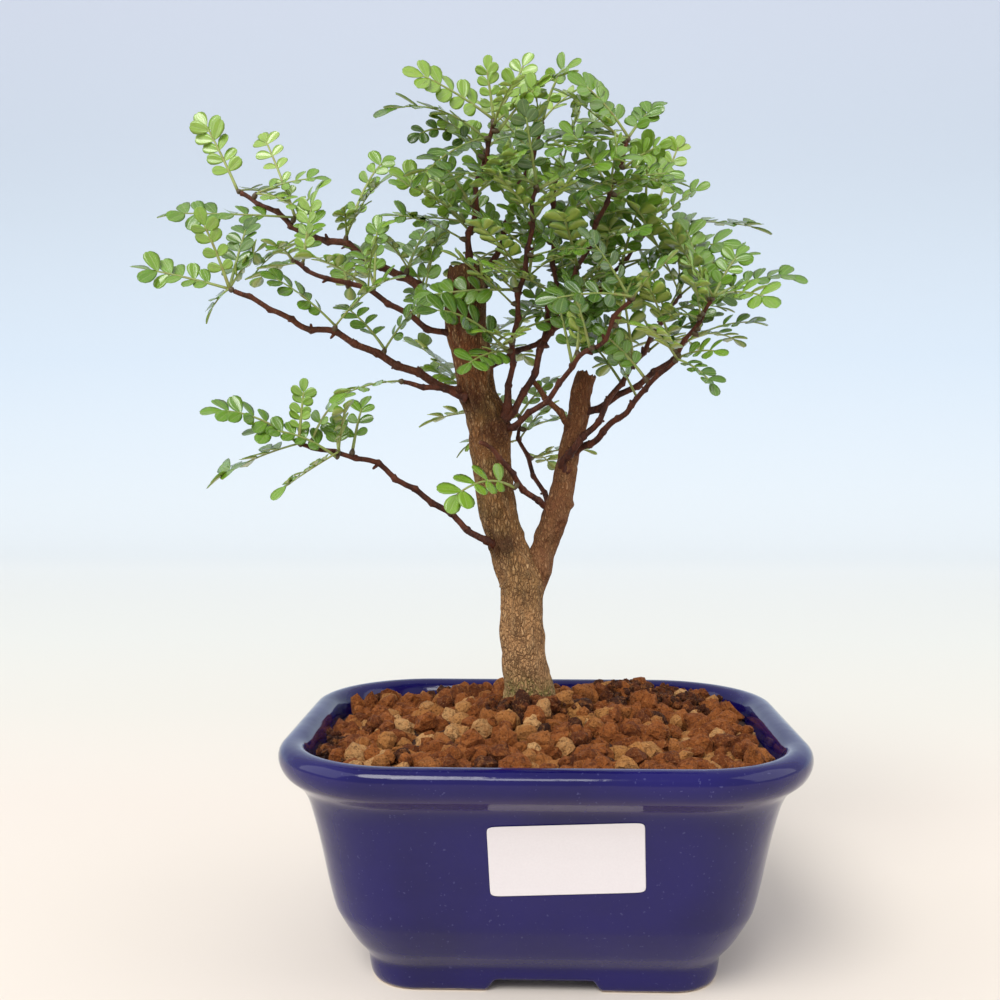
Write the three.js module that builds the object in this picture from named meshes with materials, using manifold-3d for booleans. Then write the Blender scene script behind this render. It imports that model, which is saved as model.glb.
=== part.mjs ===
// A small pepper tree trained as a bonsai, in a rounded rectangular glazed pot.
// Millimetres, +Z up. The shapes are laid out about the middle of the pot's foot, and the
// finished group is moved so that the bottom centre of the whole lies at the origin.
import * as THREE from "three";
import Module from "manifold-3d";

const wasm = await Module();
wasm.setup();

const V = (x, y, z) => new THREE.Vector3(x, y, z);

// Driving dimensions
const GAP = 0.35;
const RIM_WIDTH = 175;
const RIM_DEPTH = 144.4;
const RIM_CORNER = 42.3;
const CORNER_SHRINK = 0.88;
const CORNER_STEPS = 5;
const SOIL_CORNER_STEPS = 4;
const RIM_TOP = 80.2;
const FLOOR_TOP = 11;
const FOOT_RECESS = 5;
const NOTCH = { bottom: 19, top: 15, height: 4.4 };
const DRAIN_RADIUS = 6;
const DRAIN_SPACING = 44;
const LABEL = { width: 48, height: 24, thickness: 0.4, corner: 1.8, tilt: 2.4, at: [6.8, 50] };
const WALL_AT_LABEL = { low: 14.7, high: 8.9 };
const SOIL_LEVEL = 75.5;
const TRUNK_FOOT = [-6, 17];
const TRUNK_SINK = 66;
const GRAIN_COUNT = 44;
const GRAIN_RADIUS = [4, 5.6];
const BLADE_THICKNESS = 0.7;
const STALK_HALF_WIDTH = 0.6;
const LEAFLET_REACH = 7.6;
const BUD_RADIUS = 1.3;

const COLOURS = {
  glaze: [0x10228c, 0.12],
  label: [0xe9e2e2, 0.7],
  soil: [0x8a5238, 0.95],
  wood: [0x6f5f50, 0.85],
  leaf: [0x4e6b1f, 0.45],
};

// Inset from the rim's outline and height, up the outside, over the lip and down the inside.
const POT_PROFILE = [
  [37, FOOT_RECESS], [35, 0], [31.4, 0], [29.6, 1.2], [29.0, 4], [28.8, 8], [27.5, 10],
  [24.2, 14], [21.7, 18], [19.0, 22.5], [17.7, 26], [15.8, 34], [14.2, 42], [12.5, 50],
  [10.5, 58], [8.6, 63], [6.4, 67], [2.2, 70.5], [0.3, 74], [0.4, 77.5], [2.6, 79.8],
  [6, RIM_TOP], [9, 77.6], [10.6, 72], [14, 60], [19, 40], [24, 24], [31, 14], [36, FLOOR_TOP],
];

// Heights of the soil above its level: a mound round the trunk and one at the back right.
const MOUNDS = [
  { at: [-6, 16], rise: 9.5, spread: 23 },
  { at: [34, 46], rise: 5, spread: 14 },
];

// Routes of the wood from root to tip, each point followed by its radius.
const LIMBS = {
  trunk: [[-6, 17, TRUNK_SINK, 9.2], [-6, 17, 80, 9.4], [-6, 16, 87, 9.2], [-7, 14, 98, 8.2],
    [-8, 13, 119, 7.8], [-8, 13, 127, 8.4], [-11.4, 13, 135, 7.5], [-13.6, 13, 142, 6.7],
    [-16.6, 12, 154, 6.8], [-18.4, 12, 166, 6.9], [-20, 12, 184, 7.3], [-24, 11, 197, 6.4],
    [-26, 11, 209, 7], [-28, 11, 218, 7.4], [-28, 10, 229, 7.2], [-28, 10, 241, 6.5]],
  right: [[-7, 14, 120, 6], [-2.6, 15, 131, 5.6], [0, 15.5, 138.5, 4.7], [2.2, 16, 145, 4.5],
    [4.6, 16, 152, 4.7], [7, 17, 160, 4.3], [9, 18, 172, 3.9], [11, 18, 181, 4], [13, 19, 189, 4.1],
    [14, 20, 197, 3.8], [16, 20, 203, 3.3]],
  a: [[-15, 10, 140, 2.2], [-20, 5.5, 142, 1.5], [-25, 6, 145, 1.3], [-31, 6, 150, 1.2],
    [-38, 5, 155.5, 1.2], [-48, 2, 162, 1.1], [-60, -4, 171, 1], [-72, -8, 174, 0.9],
    [-83, -12, 177, 0.8]],
  b: [[-24, 9, 193, 2.6], [-32, 7, 196, 1.8], [-42, 3, 201, 1.6], [-57, -2, 208, 1.4],
    [-73, -7, 216, 1.2], [-84, -10, 218, 1.1], [-92, -14, 223, 1], [-105, -18, 229, 0.9]],
  b2: [[-28, 5, 194, 1.4], [-37, 1, 197, 1.1], [-44, -2, 198, 1], [-49, -4, 199, 0.8]],
  c: [[-26, 14, 224, 3], [-33, 15, 228, 2], [-44, 17, 233, 1.8], [-51, 19, 239, 1.7],
    [-63, 21, 244, 1.5], [-74, 24, 252, 1.4], [-89, 27, 256, 1.2], [-99, 29, 263.5, 1.1],
    [-115, 32, 273, 0.9]],
  d: [[-27, 10, 214, 2], [-35, 9, 217, 1.3], [-43, 8, 220, 1.2], [-57, 6, 229, 1.1],
    [-69, 5, 235, 1], [-78, 3, 236, 0.9], [-88, 2, 242, 0.8]],
  e1: [[-15, 8, 183, 2.2], [-12, 3, 199, 1.2], [-11, 0, 210, 1.1], [-9, -4, 226, 1],
    [-7, -7, 237, 1], [-5, -9, 246, 0.9], [-4, -13, 258, 0.8], [-3, -14, 263, 0.7]],
  e2: [[-16, 7, 183, 2], [-10, 6, 191, 1.4], [-5, 5, 199, 1.3], [0, 5, 213, 1.2],
    [6, 4, 226, 1.1], [11, 4, 237, 1], [18, 3, 253, 0.9], [25, 2, 271, 0.8], [29, 2, 283, 0.7]],
  e3: [[-16, 8, 182, 1.8], [-9, 1, 185, 1.2], [-1, -4, 191, 1.1], [5, -8, 197, 1],
    [11, -14, 206, 0.9], [19, -19, 211, 0.8], [24, -25, 220, 0.8], [28, -28, 224, 0.7]],
  e5: [[-22, 12, 204, 2], [-16, 14, 208, 1.2], [-2, 19, 215, 1.1], [12, 24, 226, 1],
    [22, 28, 236, 0.9], [33, 33, 250, 0.8], [40, 36, 259, 0.7]],
  g1: [[0, 5, 212, 1.2], [2, 9, 229, 1], [4, 11, 236, 0.9], [3, 16, 251, 0.9],
    [3, 20, 264, 0.8], [6, 24, 280, 0.8], [6, 26, 286, 0.7]],
  f1: [[-27, 9, 237, 1.8], [-27, 6, 249, 1.2], [-25, 5, 257, 1.1], [-23, 3, 272, 1],
    [-20, 2, 279, 0.9], [-18, 0, 289, 0.8]],
  f2: [[-26, 12, 228, 2], [-18, 14, 244, 1.3], [-15, 15, 252, 1.2], [-12, 16, 262, 1.1],
    [-7, 18, 275, 1], [-3, 19, 285, 0.9], [-1, 20, 294, 0.8]],
  h1: [[13, 18, 189, 2], [18, 17, 190, 1.5], [26, 14, 194, 1.3], [34, 11, 199, 1.2],
    [40, 8, 203, 1.1], [46, 6, 208, 1], [49, 4, 212, 0.9], [54, 1, 220, 0.8], [58, -2, 227, 0.7]],
  h2: [[8, 16, 168, 1.8], [7.2, 13.5, 171.5, 1.6], [13.8, 10.5, 179, 1.4], [19, 9, 185, 1.2],
    [26, 10, 197, 1.1], [32, 14, 205, 1], [40, 21, 217, 0.9], [46, 30, 227, 0.8], [52, 40, 234, 0.7]],
  h3: [[11, 17, 174, 1.8], [14.7, 14, 177, 1.4], [20, 10, 179.5, 1.3], [25, 5, 186, 1.2],
    [30, 1, 189, 1.1], [35, -5, 197, 1], [40, -9, 201, 0.9], [44, -14, 205, 0.7]],
  i1: [[3, 20, 153, 1.6], [0, 24, 159, 1], [-6, 30, 172, 0.9], [-9, 33, 180, 0.8],
    [-9, 36, 187, 0.7]],
  i2: [[3, 16, 154, 1.6], [0, 13, 155, 1.3], [-4.7, 8, 159, 1.2], [-10.3, 3, 165, 1.1],
    [-14, -1, 171, 1], [-17.5, -3, 175, 0.9], [-22.5, -5, 178, 0.7]],
  stub: [[10, 17, 184, 1.8], [7.7, 14, 186, 1.3], [4, 11, 190.6, 1.2], [0.4, 9, 195, 1.1],
    [-4, 7, 200, 1]],
};
const STOUT_LIMBS = ["trunk", "right"];
const [STOUT_SIDES, TWIG_SIDES] = [10, 5];

// Sprays of leaves. Each grows from a bud on a limb at a place counted in its points, and each
// leaf gives its tip, the lift of its middle, the way its face looks (0 front, 90 up, 180 back)
// and its pairs of leaflets.
const SPRAYS = {
  a_tip: ["a", 8, [[-114, -24, 188], 8, 48, 4], [[-81.5, -16, 198.5], 2, 20, 4], [[-119, -6, 163], 3, 80, 4]],
  a_mid: ["a", 7, [[-90, -28, 160], 1, 105, 4], [[-65, -30, 191], 4, 50, 3], [[-74, -4, 186], 3, 60, 2]],
  a_up: ["a", 6.6, [[-64, 4, 193], 4, 60, 3]],
  b_tip: ["b", 7, [[-139, -20, 237], 1, 40, 4], [[-114, -28, 253], 3, 15, 4], [[-103, -4, 256], 2, 40, 3],
    [[-115, -20, 217], 4, 82, 3]],
  b_mid: ["b", 4, [[-95, -20, 235], 4, 60, 4], [[-48, -24, 233], 6, 60, 4]],
  b_in: ["b", 3, [[-75, 16, 229], 4, 70, 3], [[-41, -10, 227], 3, 50, 3]],
  b2: ["b2", 3, [[-70, -26, 192], 3, 85, 3]],
  c_tip: ["c", 8, [[-132, 36, 304.5], 2, 20, 3], [[-143, 20, 263], 1, 50, 4], [[-105, 62, 276], 4, 80, 2]],
  c_tip2: ["c", 6.6, [[-110, 46, 299], 3, 25, 3], [[-80, 20, 274], 3, 50, 3], [[-85, 30, 268], 2, 50, 3]],
  c_mid: ["c", 5, [[-59, 34, 286], 10, 35, 2], [[-56, 4, 272], 6, 60, 3], [[-72, 10, 263], 3, 50, 3]],
  c_in: ["c", 3, [[-60, 4, 251], 5, 60, 3], [[-42, 36, 263], 4, 70, 2], [[-35, 0, 250], 3, 60, 3]],
  c_back: ["c", 2, [[-62, 50, 258], 4, 100, 2]],
  d_tip: ["d", 6, [[-91, -22, 243], 3, 50, 3]],
  d_mid: ["d", 3.5, [[-82, -20, 241], 4, 70, 3], [[-58, -16, 246], 2, 40, 3]],
  f1: ["f1", 5, [[-20.4, -6, 310], 1, 10, 3], [[-5, 2, 315], -3, 25, 3], [[-47, -14, 304], 3, 30, 4]],
  f1_mid: ["f1", 4.5, [[-55, -24, 286], 12, 55, 3], [[-43, -30, 261], 6, 60, 3]],
  f1_low: ["f1", 1.8, [[-52, -16, 266], 5, 60, 3], [[-40, 32, 280], 3, 110, 2], [[-53, -4, 272], 4, 30, 3],
    [[-57, 2, 255], 4, 75, 3]],
  f2: ["f2", 6, [[10.5, 12, 312], 12, 25, 3], [[16, 40, 314], 4, 80, 2]],
  f2_mid: ["f2", 4, [[-16, 46, 303], 3, 40, 2], [[-30, 54, 278], 4, 120, 2]],
  e1: ["e1", 7, [[-7, -26, 288.5], 2, 15, 4], [[-31, -38, 262], 5, 60, 3]],
  e1_mid: ["e1", 4, [[-24, -34, 249], 4, 70, 3], [[-19, -32, 233], 2, 20, 3]],
  g1: ["g1", 6, [[29, 32, 303], 3, 40, 2], [[-2, 52, 300], 4, 80, 2]],
  g1_mid: ["g1", 3.6, [[20, 50, 282], 4, 90, 2]],
  e2: ["e2", 8, [[10, -8, 302], 5, 40, 4], [[42, 10, 299], 3, 45, 3], [[1, -24, 273], 2, 60, 4],
    [[0, 14, 287], 4, 70, 3]],
  e2_mid: ["e2", 6.9, [[46, -22, 260], 5, 70, 4], [[11, -26, 258], 3, 40, 3]],
  e5: ["e5", 6, [[53, 42, 295], 3, 20, 3], [[60, 24, 273], 3, 50, 2], [[87, 44, 260], 5, 70, 3],
    [[42, 18, 265], 2, 30, 2]],
  e5_mid: ["e5", 4, [[24, 12, 262], 4, 20, 3], [[30, 62, 258], 4, 100, 2]],
  h2: ["h2", 8, [[81, 34, 250], 5, 60, 3], [[78, 60, 248], 5, 60, 2], [[48, 14, 255], 4, 40, 3]],
  h2_mid: ["h2", 6, [[62, 54, 216], 5, 90, 2], [[24, 56, 206], 5, 110, 2]],
  e3: ["e3", 7, [[-2, -38, 222], 4, 40, 3], [[40, -50, 234], 4, 50, 4]],
  h1: ["h1", 8, [[89, -8, 234], 6, 55, 4], [[75, -30, 223], 5, 50, 4], [[70, 2, 246], 3, 40, 3],
    [[46, -22, 238], 3, 30, 3]],
  h1_mid: ["h1", 6.6, [[75, -14, 218], 4, 75, 3], [[73, 20, 214], 4, 80, 2]],
  h3: ["h3", 7, [[58, -28, 193], 4, 80, 3], [[30, -42, 215], 4, 50, 3]],
  h3_mid: ["h3", 5.3, [[18, -7, 217], 3, 40, 3]],
  i1: ["i1", 4, [[6, 46, 204], 4, 60, 2], [[-24, 60, 196], 4, 100, 2], [[-48, 38, 185], 6, 95, 2],
    [[-34, 36, 173], 4, 80, 2]],
  i1_low: ["i1", 2, [[4, 52, 168], 5, 90, 2], [[21, 38, 174], 5, 95, 2]],
  i2: ["i2", 2.8, [[-34, -24, 155.5], 11, 30, 3]],
  n: ["e1", 2, [[-28, -30, 201], 4, 35, 3], [[-41, -25, 221], 10, 30, 4]],
  n_top: ["e1", 3.4, [[-45.5, 1, 229], 2, 35, 3], [[-25, -22, 239], 2, 45, 2]],
  back_a: ["trunk", 11, [[-53, 36, 218], 4, 100, 2], [[-47, 38, 207], 3, 85, 2],
    [[-18, 46, 214], 5, 120, 2]],
  back_b: ["c", 4.4, [[-78, 54, 236], 5, 120, 2]],
  back_c: ["f2", 1.6, [[-10, 48, 240], 5, 120, 2], [[-36, 48, 240], 4, 120, 2]],
};

// Makes a closed solid from points and triangles, turned outward.
function makeSolid(points, triangles) {
  const volume = triangles.reduce((sum, [a, b, c]) => {
    return sum + points[a].dot(points[b].clone().cross(points[c]));
  }, 0);
  const turned = volume < 0 ? triangles.map(([a, b, c]) => [a, c, b]) : triangles;
  const mesh = new wasm.Mesh({
    numProp: 3,
    vertProperties: new Float32Array(points.flatMap((p) => [p.x, p.y, p.z])),
    triVerts: new Uint32Array(turned.flat()),
  });
  return new wasm.Manifold(mesh);
}

// Joins equal closed loops of points with a skin and closes both ends to their middles.
function skin(loops) {
  const count = loops[0].length;
  const points = loops.flat();
  const triangles = [];
  for (let row = 0; row + 1 < loops.length; row += 1) {
    for (let i = 0; i < count; i += 1) {
      const j = (i + 1) % count;
      const [a, b] = [row * count + i, row * count + j];
      triangles.push([a, b, b + count], [a, b + count, a + count]);
    }
  }
  for (const [row, flip] of [[0, true], [loops.length - 1, false]]) {
    const middle = loops[row].reduce((sum, p) => sum.add(p), V(0, 0, 0)).divideScalar(count);
    const centre = points.push(middle) - 1;
    for (let i = 0; i < count; i += 1) {
      const [a, b] = [row * count + i, row * count + ((i + 1) % count)];
      triangles.push(flip ? [centre, b, a] : [centre, a, b]);
    }
  }
  return makeSolid(points, triangles);
}

// A rounded rectangle at some inset from the rim's outline; the height may depend on the place.
function potLoop(inset, height, steps = CORNER_STEPS) {
  const corner = Math.max(RIM_CORNER - CORNER_SHRINK * inset, 4);
  const x = RIM_WIDTH / 2 - inset - corner;
  const y = RIM_DEPTH / 2 - inset - corner;
  const middles = [[x, y], [-x, y], [-x, -y], [x, -y]];
  return middles.flatMap(([mx, my], quarter) => {
    return Array.from({ length: steps + 1 }, (_, step) => {
      const turn = (Math.PI / 2) * (quarter + step / steps);
      const px = mx + corner * Math.cos(turn);
      const py = my + corner * Math.sin(turn);
      return V(px, py, typeof height === "function" ? height(px, py) : height);
    });
  });
}

// A tube along given points, with flat ends.
function tube(route, sides) {
  const points = route.map(([x, y, z]) => V(x, y, z));
  let side = V(0, 1, 0);
  const loops = points.map((point, i) => {
    const before = points[Math.max(i - 1, 0)];
    const after = points[Math.min(i + 1, points.length - 1)];
    const along = after.clone().sub(before).normalize();
    side = side.clone().addScaledVector(along, -side.dot(along)).normalize();
    const other = along.clone().cross(side);
    return Array.from({ length: sides }, (_, k) => {
      const turn = (2 * Math.PI * k) / sides;
      const out = side.clone().multiplyScalar(Math.cos(turn)).addScaledVector(other, Math.sin(turn));
      return point.clone().addScaledVector(out, route[i][3]);
    });
  });
  return skin(loops);
}

// A closed solid from one of the library's own geometries.
function fromGeometry(geometry, matrix) {
  const moved = geometry.clone().applyMatrix4(matrix ?? new THREE.Matrix4());
  const position = moved.attributes.position;
  const keys = new Map();
  const points = [];
  const place = Array.from({ length: position.count }, (_, i) => {
    const point = V(position.getX(i), position.getY(i), position.getZ(i));
    const key = point.toArray().map((c) => Math.round(c * 1e4)).join(" ");
    if (!keys.has(key)) keys.set(key, points.push(point) - 1);
    return keys.get(key);
  });
  const order = moved.index ? Array.from(moved.index.array) : place.map((_, i) => i);
  const triangles = [];
  for (let i = 0; i < order.length; i += 3) {
    const corners = [place[order[i]], place[order[i + 1]], place[order[i + 2]]];
    if (new Set(corners).size === 3) triangles.push(corners);
  }
  return makeSolid(points, triangles);
}

function toMesh(name, solid, [colour, roughness]) {
  const { vertProperties, triVerts, numProp } = solid.getMesh();
  const position = new Float32Array((vertProperties.length / numProp) * 3);
  for (let i = 0; i < position.length / 3; i += 1) {
    position.set(vertProperties.subarray(i * numProp, i * numProp + 3), i * 3);
  }
  const geometry = new THREE.BufferGeometry();
  geometry.setAttribute("position", new THREE.BufferAttribute(position, 3));
  geometry.setIndex(Array.from(triVerts));
  geometry.computeVertexNormals();
  const material = new THREE.MeshStandardMaterial({ color: colour, roughness, metalness: 0 });
  const mesh = new THREE.Mesh(geometry, material);
  mesh.name = name;
  return mesh;
}

// A small repeatable number source for the loose grains.
function seeded(seed) {
  let state = seed;
  return () => {
    state = (state * 1664525 + 1013904223) % 4294967296;
    return state / 4294967296;
  };
}

function footNotch() {
  const shape = new THREE.Shape([
    new THREE.Vector2(-NOTCH.bottom, -1),
    new THREE.Vector2(NOTCH.bottom, -1),
    new THREE.Vector2(NOTCH.bottom, 0),
    new THREE.Vector2(NOTCH.top, NOTCH.height),
    new THREE.Vector2(-NOTCH.top, NOTCH.height),
    new THREE.Vector2(-NOTCH.bottom, 0),
  ]);
  const bar = new THREE.ExtrudeGeometry(shape, { depth: RIM_DEPTH, bevelEnabled: false });
  const upright = new THREE.Matrix4().makeRotationX(Math.PI / 2).setPosition(0, RIM_DEPTH / 2, 0);
  return fromGeometry(bar, upright);
}

function drainHole(x) {
  const plug = new THREE.CylinderGeometry(DRAIN_RADIUS, DRAIN_RADIUS, 4 * FLOOR_TOP, 12);
  return fromGeometry(plug, new THREE.Matrix4().makeRotationX(Math.PI / 2).setPosition(x, 0, 0));
}

function makePot() {
  return skin(POT_PROFILE.map(([inset, z]) => potLoop(inset, z)))
    .subtract(footNotch())
    .subtract(drainHole(-DRAIN_SPACING / 2))
    .subtract(drainHole(DRAIN_SPACING / 2));
}

function soilHeight(x, y) {
  return MOUNDS.reduce((z, { at, rise, spread }) => {
    const square = (x - at[0]) ** 2 + (y - at[1]) ** 2;
    return z + rise * Math.exp(-square / (2 * spread ** 2));
  }, SOIL_LEVEL);
}

function grain(x, y, radius, random) {
  const size = V(1 + 0.3 * random(), 1, 0.75 + 0.2 * random()).multiplyScalar(radius);
  const turn = new THREE.Quaternion().setFromEuler(
    new THREE.Euler(6 * random(), 6 * random(), 6 * random()),
  );
  const place = V(x, y, soilHeight(x, y) - 0.42 * radius);
  const matrix = new THREE.Matrix4().compose(place, turn, size);
  return fromGeometry(new THREE.OctahedronGeometry(1, 0), matrix);
}

// Loose grains, no two closer than a good part of their width, clear of the wall.
function makeGrains() {
  const random = seeded(71);
  const placed = [];
  for (let tries = 0; tries < 9000 && placed.length < GRAIN_COUNT; tries += 1) {
    const x = (random() - 0.5) * (RIM_WIDTH - 36);
    const y = (random() - 0.5) * (RIM_DEPTH - 36);
    const radius = THREE.MathUtils.lerp(...GRAIN_RADIUS, random());
    const corner = Math.hypot(
      Math.max(Math.abs(x) - 42, 0),
      Math.max(Math.abs(y) - 27, 0),
    );
    const close = placed.some((g) => Math.hypot(g.x - x, g.y - y) < 0.8 * (g.radius + radius) + 1.6);
    const clearOfTrunk = Math.hypot(x - TRUNK_FOOT[0], y - TRUNK_FOOT[1]) > 9.5 + radius;
    if (corner < 29 - radius && clearOfTrunk && !close) placed.push({ x, y, radius });
  }
  return placed.map(({ x, y, radius }) => grain(x, y, radius, random));
}

function makeSoil() {
  const wall = [[36.6, FLOOR_TOP + GAP], [31.6, 14.2], [24.6, 24], [19.6, 40], [14.6, 60],
    [11.3, 72], [11.1, 73.4]];
  const sides = wall.map(([inset, z]) => potLoop(inset, z, SOIL_CORNER_STEPS));
  const top = [14, 20, 27, 36, 46, 58].map((inset) => potLoop(inset, soilHeight, SOIL_CORNER_STEPS));
  const [x, y] = TRUNK_FOOT;
  const hole = tube([[x, y, TRUNK_SINK - GAP, 9.9], [x, y, 80, 10.1], [x, y - 1, 87, 9.95],
    [x - 1, y - 3, 98, 9.2]], 12);
  return wasm.Manifold.union([skin([...sides, ...top]), ...makeGrains()]).subtract(hole);
}

function makeWood() {
  const limbs = Object.entries(LIMBS).map(([name, route]) => {
    return tube(route, STOUT_LIMBS.includes(name) ? STOUT_SIDES : TWIG_SIDES);
  });
  return wasm.Manifold.union(limbs);
}

// A compound leaf as one thin arched blade, its leaflets cut to the rib in the outline.
function leafBlade(root, [tip, lift, face, pairs]) {
  const end = V(...tip);
  const middle = root.clone().lerp(end, 0.5).add(V(0, 0, lift));
  const curve = new THREE.QuadraticBezierCurve3(root, middle, end);
  const turn = THREE.MathUtils.degToRad(face);
  const look = V(-0.12, -Math.cos(turn), Math.sin(turn));
  const step = 0.67 / (pairs + 0.3);
  const outline = [[0, STALK_HALF_WIDTH]];
  for (let pair = 0; pair < pairs; pair += 1) {
    const at = 0.2 + step * pair;
    const reach = LEAFLET_REACH * (0.72 + (0.36 * pair) / pairs);
    outline.push([at, STALK_HALF_WIDTH], [at + 0.24 * step, reach], [at + 0.84 * step, 0.94 * reach]);
  }
  outline.push([0.86, STALK_HALF_WIDTH], [0.91, 2.9], [1, 2.3]);
  const loops = outline.map(([at, half]) => {
    const along = curve.getTangent(at);
    const up = look.clone().addScaledVector(along, -look.dot(along)).normalize();
    const across = along.clone().cross(up).multiplyScalar(half);
    up.multiplyScalar(BLADE_THICKNESS / 2);
    const rib = curve.getPoint(at);
    return [
      rib.clone().add(across).add(up),
      rib.clone().sub(across).add(up),
      rib.clone().sub(across).sub(up),
      rib.clone().add(across).sub(up),
    ];
  });
  return bladeSkin(loops);
}

// Skins four-cornered sections, split alike on both faces, with two triangles on each end.
function bladeSkin(loops) {
  const triangles = [[0, 2, 1], [0, 3, 2]];
  for (let row = 0; row + 1 < loops.length; row += 1) {
    const [a, b, c, d] = [0, 1, 2, 3].map((k) => 4 * row + k);
    triangles.push([a, b, b + 4], [a, b + 4, a + 4], [b, c, c + 4], [b, c + 4, b + 4]);
    triangles.push([c, d, c + 4], [d, d + 4, c + 4], [d, a, a + 4], [d, a + 4, d + 4]);
  }
  const last = 4 * (loops.length - 1);
  triangles.push([last, last + 1, last + 2], [last, last + 2, last + 3]);
  return makeSolid(loops.flat(), triangles);
}

// Where a spray's bud sits: just off the end of its limb, or off the limb's side.
function budPlace(limb, at, leaves) {
  const route = LIMBS[limb];
  const index = Math.min(Math.floor(at), route.length - 2);
  const [a, b] = [route[index], route[index + 1]];
  const part = at - index;
  const start = V(a[0], a[1], a[2]);
  const along = V(b[0], b[1], b[2]).sub(start);
  const place = start.clone().addScaledVector(along, part);
  along.normalize();
  if (at >= route.length - 1) {
    return { place: place.addScaledVector(along, BUD_RADIUS + GAP), aim: along };
  }
  const aim = leaves.reduce((sum, [tip]) => sum.add(V(...tip)), V(0, 0, 0));
  aim.divideScalar(leaves.length).sub(place);
  aim.addScaledVector(along, -aim.dot(along)).normalize();
  const radius = THREE.MathUtils.lerp(a[3], b[3], part);
  return { place: place.addScaledVector(aim, radius + GAP + BUD_RADIUS), aim };
}

function makeSpray([limb, at, ...leaves]) {
  const { place, aim } = budPlace(limb, at, leaves);
  const turn = new THREE.Quaternion().setFromUnitVectors(V(0, 0, 1), aim);
  const bud = fromGeometry(
    new THREE.OctahedronGeometry(BUD_RADIUS, 0),
    new THREE.Matrix4().compose(place, turn, V(1, 1, 1)),
  );
  return wasm.Manifold.union([bud, ...leaves.map((leaf) => leafBlade(place, leaf))]);
}

function makeLabel() {
  const { width, height, thickness, corner } = LABEL;
  const [w, h] = [width / 2, height / 2];
  const shape = new THREE.Shape();
  shape.moveTo(-w + corner, -h);
  shape.lineTo(w - corner, -h);
  shape.quadraticCurveTo(w, -h, w, -h + corner);
  shape.lineTo(w, h - corner);
  shape.quadraticCurveTo(w, h, w - corner, h);
  shape.lineTo(-w + corner, h);
  shape.quadraticCurveTo(-w, h, -w, h - corner);
  shape.lineTo(-w, -h + corner);
  shape.quadraticCurveTo(-w, -h, -w + corner, -h);
  const plate = new THREE.ExtrudeGeometry(shape, {
    depth: thickness,
    bevelEnabled: false,
    curveSegments: 3,
  });
  return fromGeometry(plate);
}

const model = new THREE.Group();
model.add(toMesh("pot", makePot(), COLOURS.glaze));
model.add(toMesh("soil", makeSoil(), COLOURS.soil));
model.add(toMesh("tree", makeWood(), COLOURS.wood));
for (const [name, spray] of Object.entries(SPRAYS)) {
  model.add(toMesh(`leaves_${name}`, makeSpray(spray), COLOURS.leaf));
}

// The label leans with the wall, whose insets at the label's foot and head are known.
const label = toMesh("label", makeLabel(), COLOURS.label);
const { low, high } = WALL_AT_LABEL;
label.rotation.set(Math.PI / 2 + Math.atan2(low - high, LABEL.height), 0, 0);
label.rotateZ(THREE.MathUtils.degToRad(LABEL.tilt));
label.position.set(LABEL.at[0], (low + high) / 2 - RIM_DEPTH / 2 - GAP, LABEL.at[1]);
model.add(label);

// The bottom centre of everything goes to the origin.
model.updateMatrixWorld(true);
const bounds = new THREE.Box3().setFromObject(model, true);
model.position.set(-(bounds.min.x + bounds.max.x) / 2, -(bounds.min.y + bounds.max.y) / 2, -bounds.min.z);

const group = new THREE.Group();
group.add(model);

export default group;
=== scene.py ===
import math

import bpy
import numpy as np
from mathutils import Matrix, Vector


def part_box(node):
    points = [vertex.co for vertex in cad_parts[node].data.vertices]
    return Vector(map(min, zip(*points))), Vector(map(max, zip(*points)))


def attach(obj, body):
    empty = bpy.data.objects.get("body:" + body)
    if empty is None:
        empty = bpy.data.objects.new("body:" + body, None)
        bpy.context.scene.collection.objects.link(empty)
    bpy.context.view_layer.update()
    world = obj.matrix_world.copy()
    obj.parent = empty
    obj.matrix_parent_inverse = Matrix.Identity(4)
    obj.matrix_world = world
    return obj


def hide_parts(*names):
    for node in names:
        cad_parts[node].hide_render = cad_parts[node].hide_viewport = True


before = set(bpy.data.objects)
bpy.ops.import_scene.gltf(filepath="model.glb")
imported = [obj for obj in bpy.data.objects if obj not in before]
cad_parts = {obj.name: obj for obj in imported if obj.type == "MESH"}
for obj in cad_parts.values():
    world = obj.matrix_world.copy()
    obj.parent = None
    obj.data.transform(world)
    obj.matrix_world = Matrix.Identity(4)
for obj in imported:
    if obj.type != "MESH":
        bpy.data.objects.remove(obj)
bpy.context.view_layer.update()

# The picture's frame. The camera stands a little above the rim, almost level, in front of the
# pot. Sizes below are in millimetres about the middle of the pot's foot, as the part was laid
# out, and `placed` brings them into the frame.
POT_LOW, POT_HIGH = (np.array(corner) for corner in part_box("pot"))
POT_MIDDLE = np.array([(POT_LOW[0] + POT_HIGH[0]) / 2, (POT_LOW[1] + POT_HIGH[1]) / 2, POT_LOW[2]])


def placed(points):
    """Points in millimetres about the pot's foot, in metres in the frame."""
    return np.asarray(points, float) * 0.001 + POT_MIDDLE


camera_data = bpy.data.cameras.new("Camera")
camera_data.sensor_width = 36
camera_data.lens = 41.55
camera_data.clip_end = 20
camera = bpy.data.objects.new("Camera", camera_data)
camera.location = placed([-2.8, -408.4, 174.7])
camera.rotation_euler = (math.pi / 2 - 0.042, 0, 0.031)
bpy.context.collection.objects.link(camera)
bpy.context.scene.camera = camera
bpy.context.scene.view_settings.view_transform = "Standard"


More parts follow.
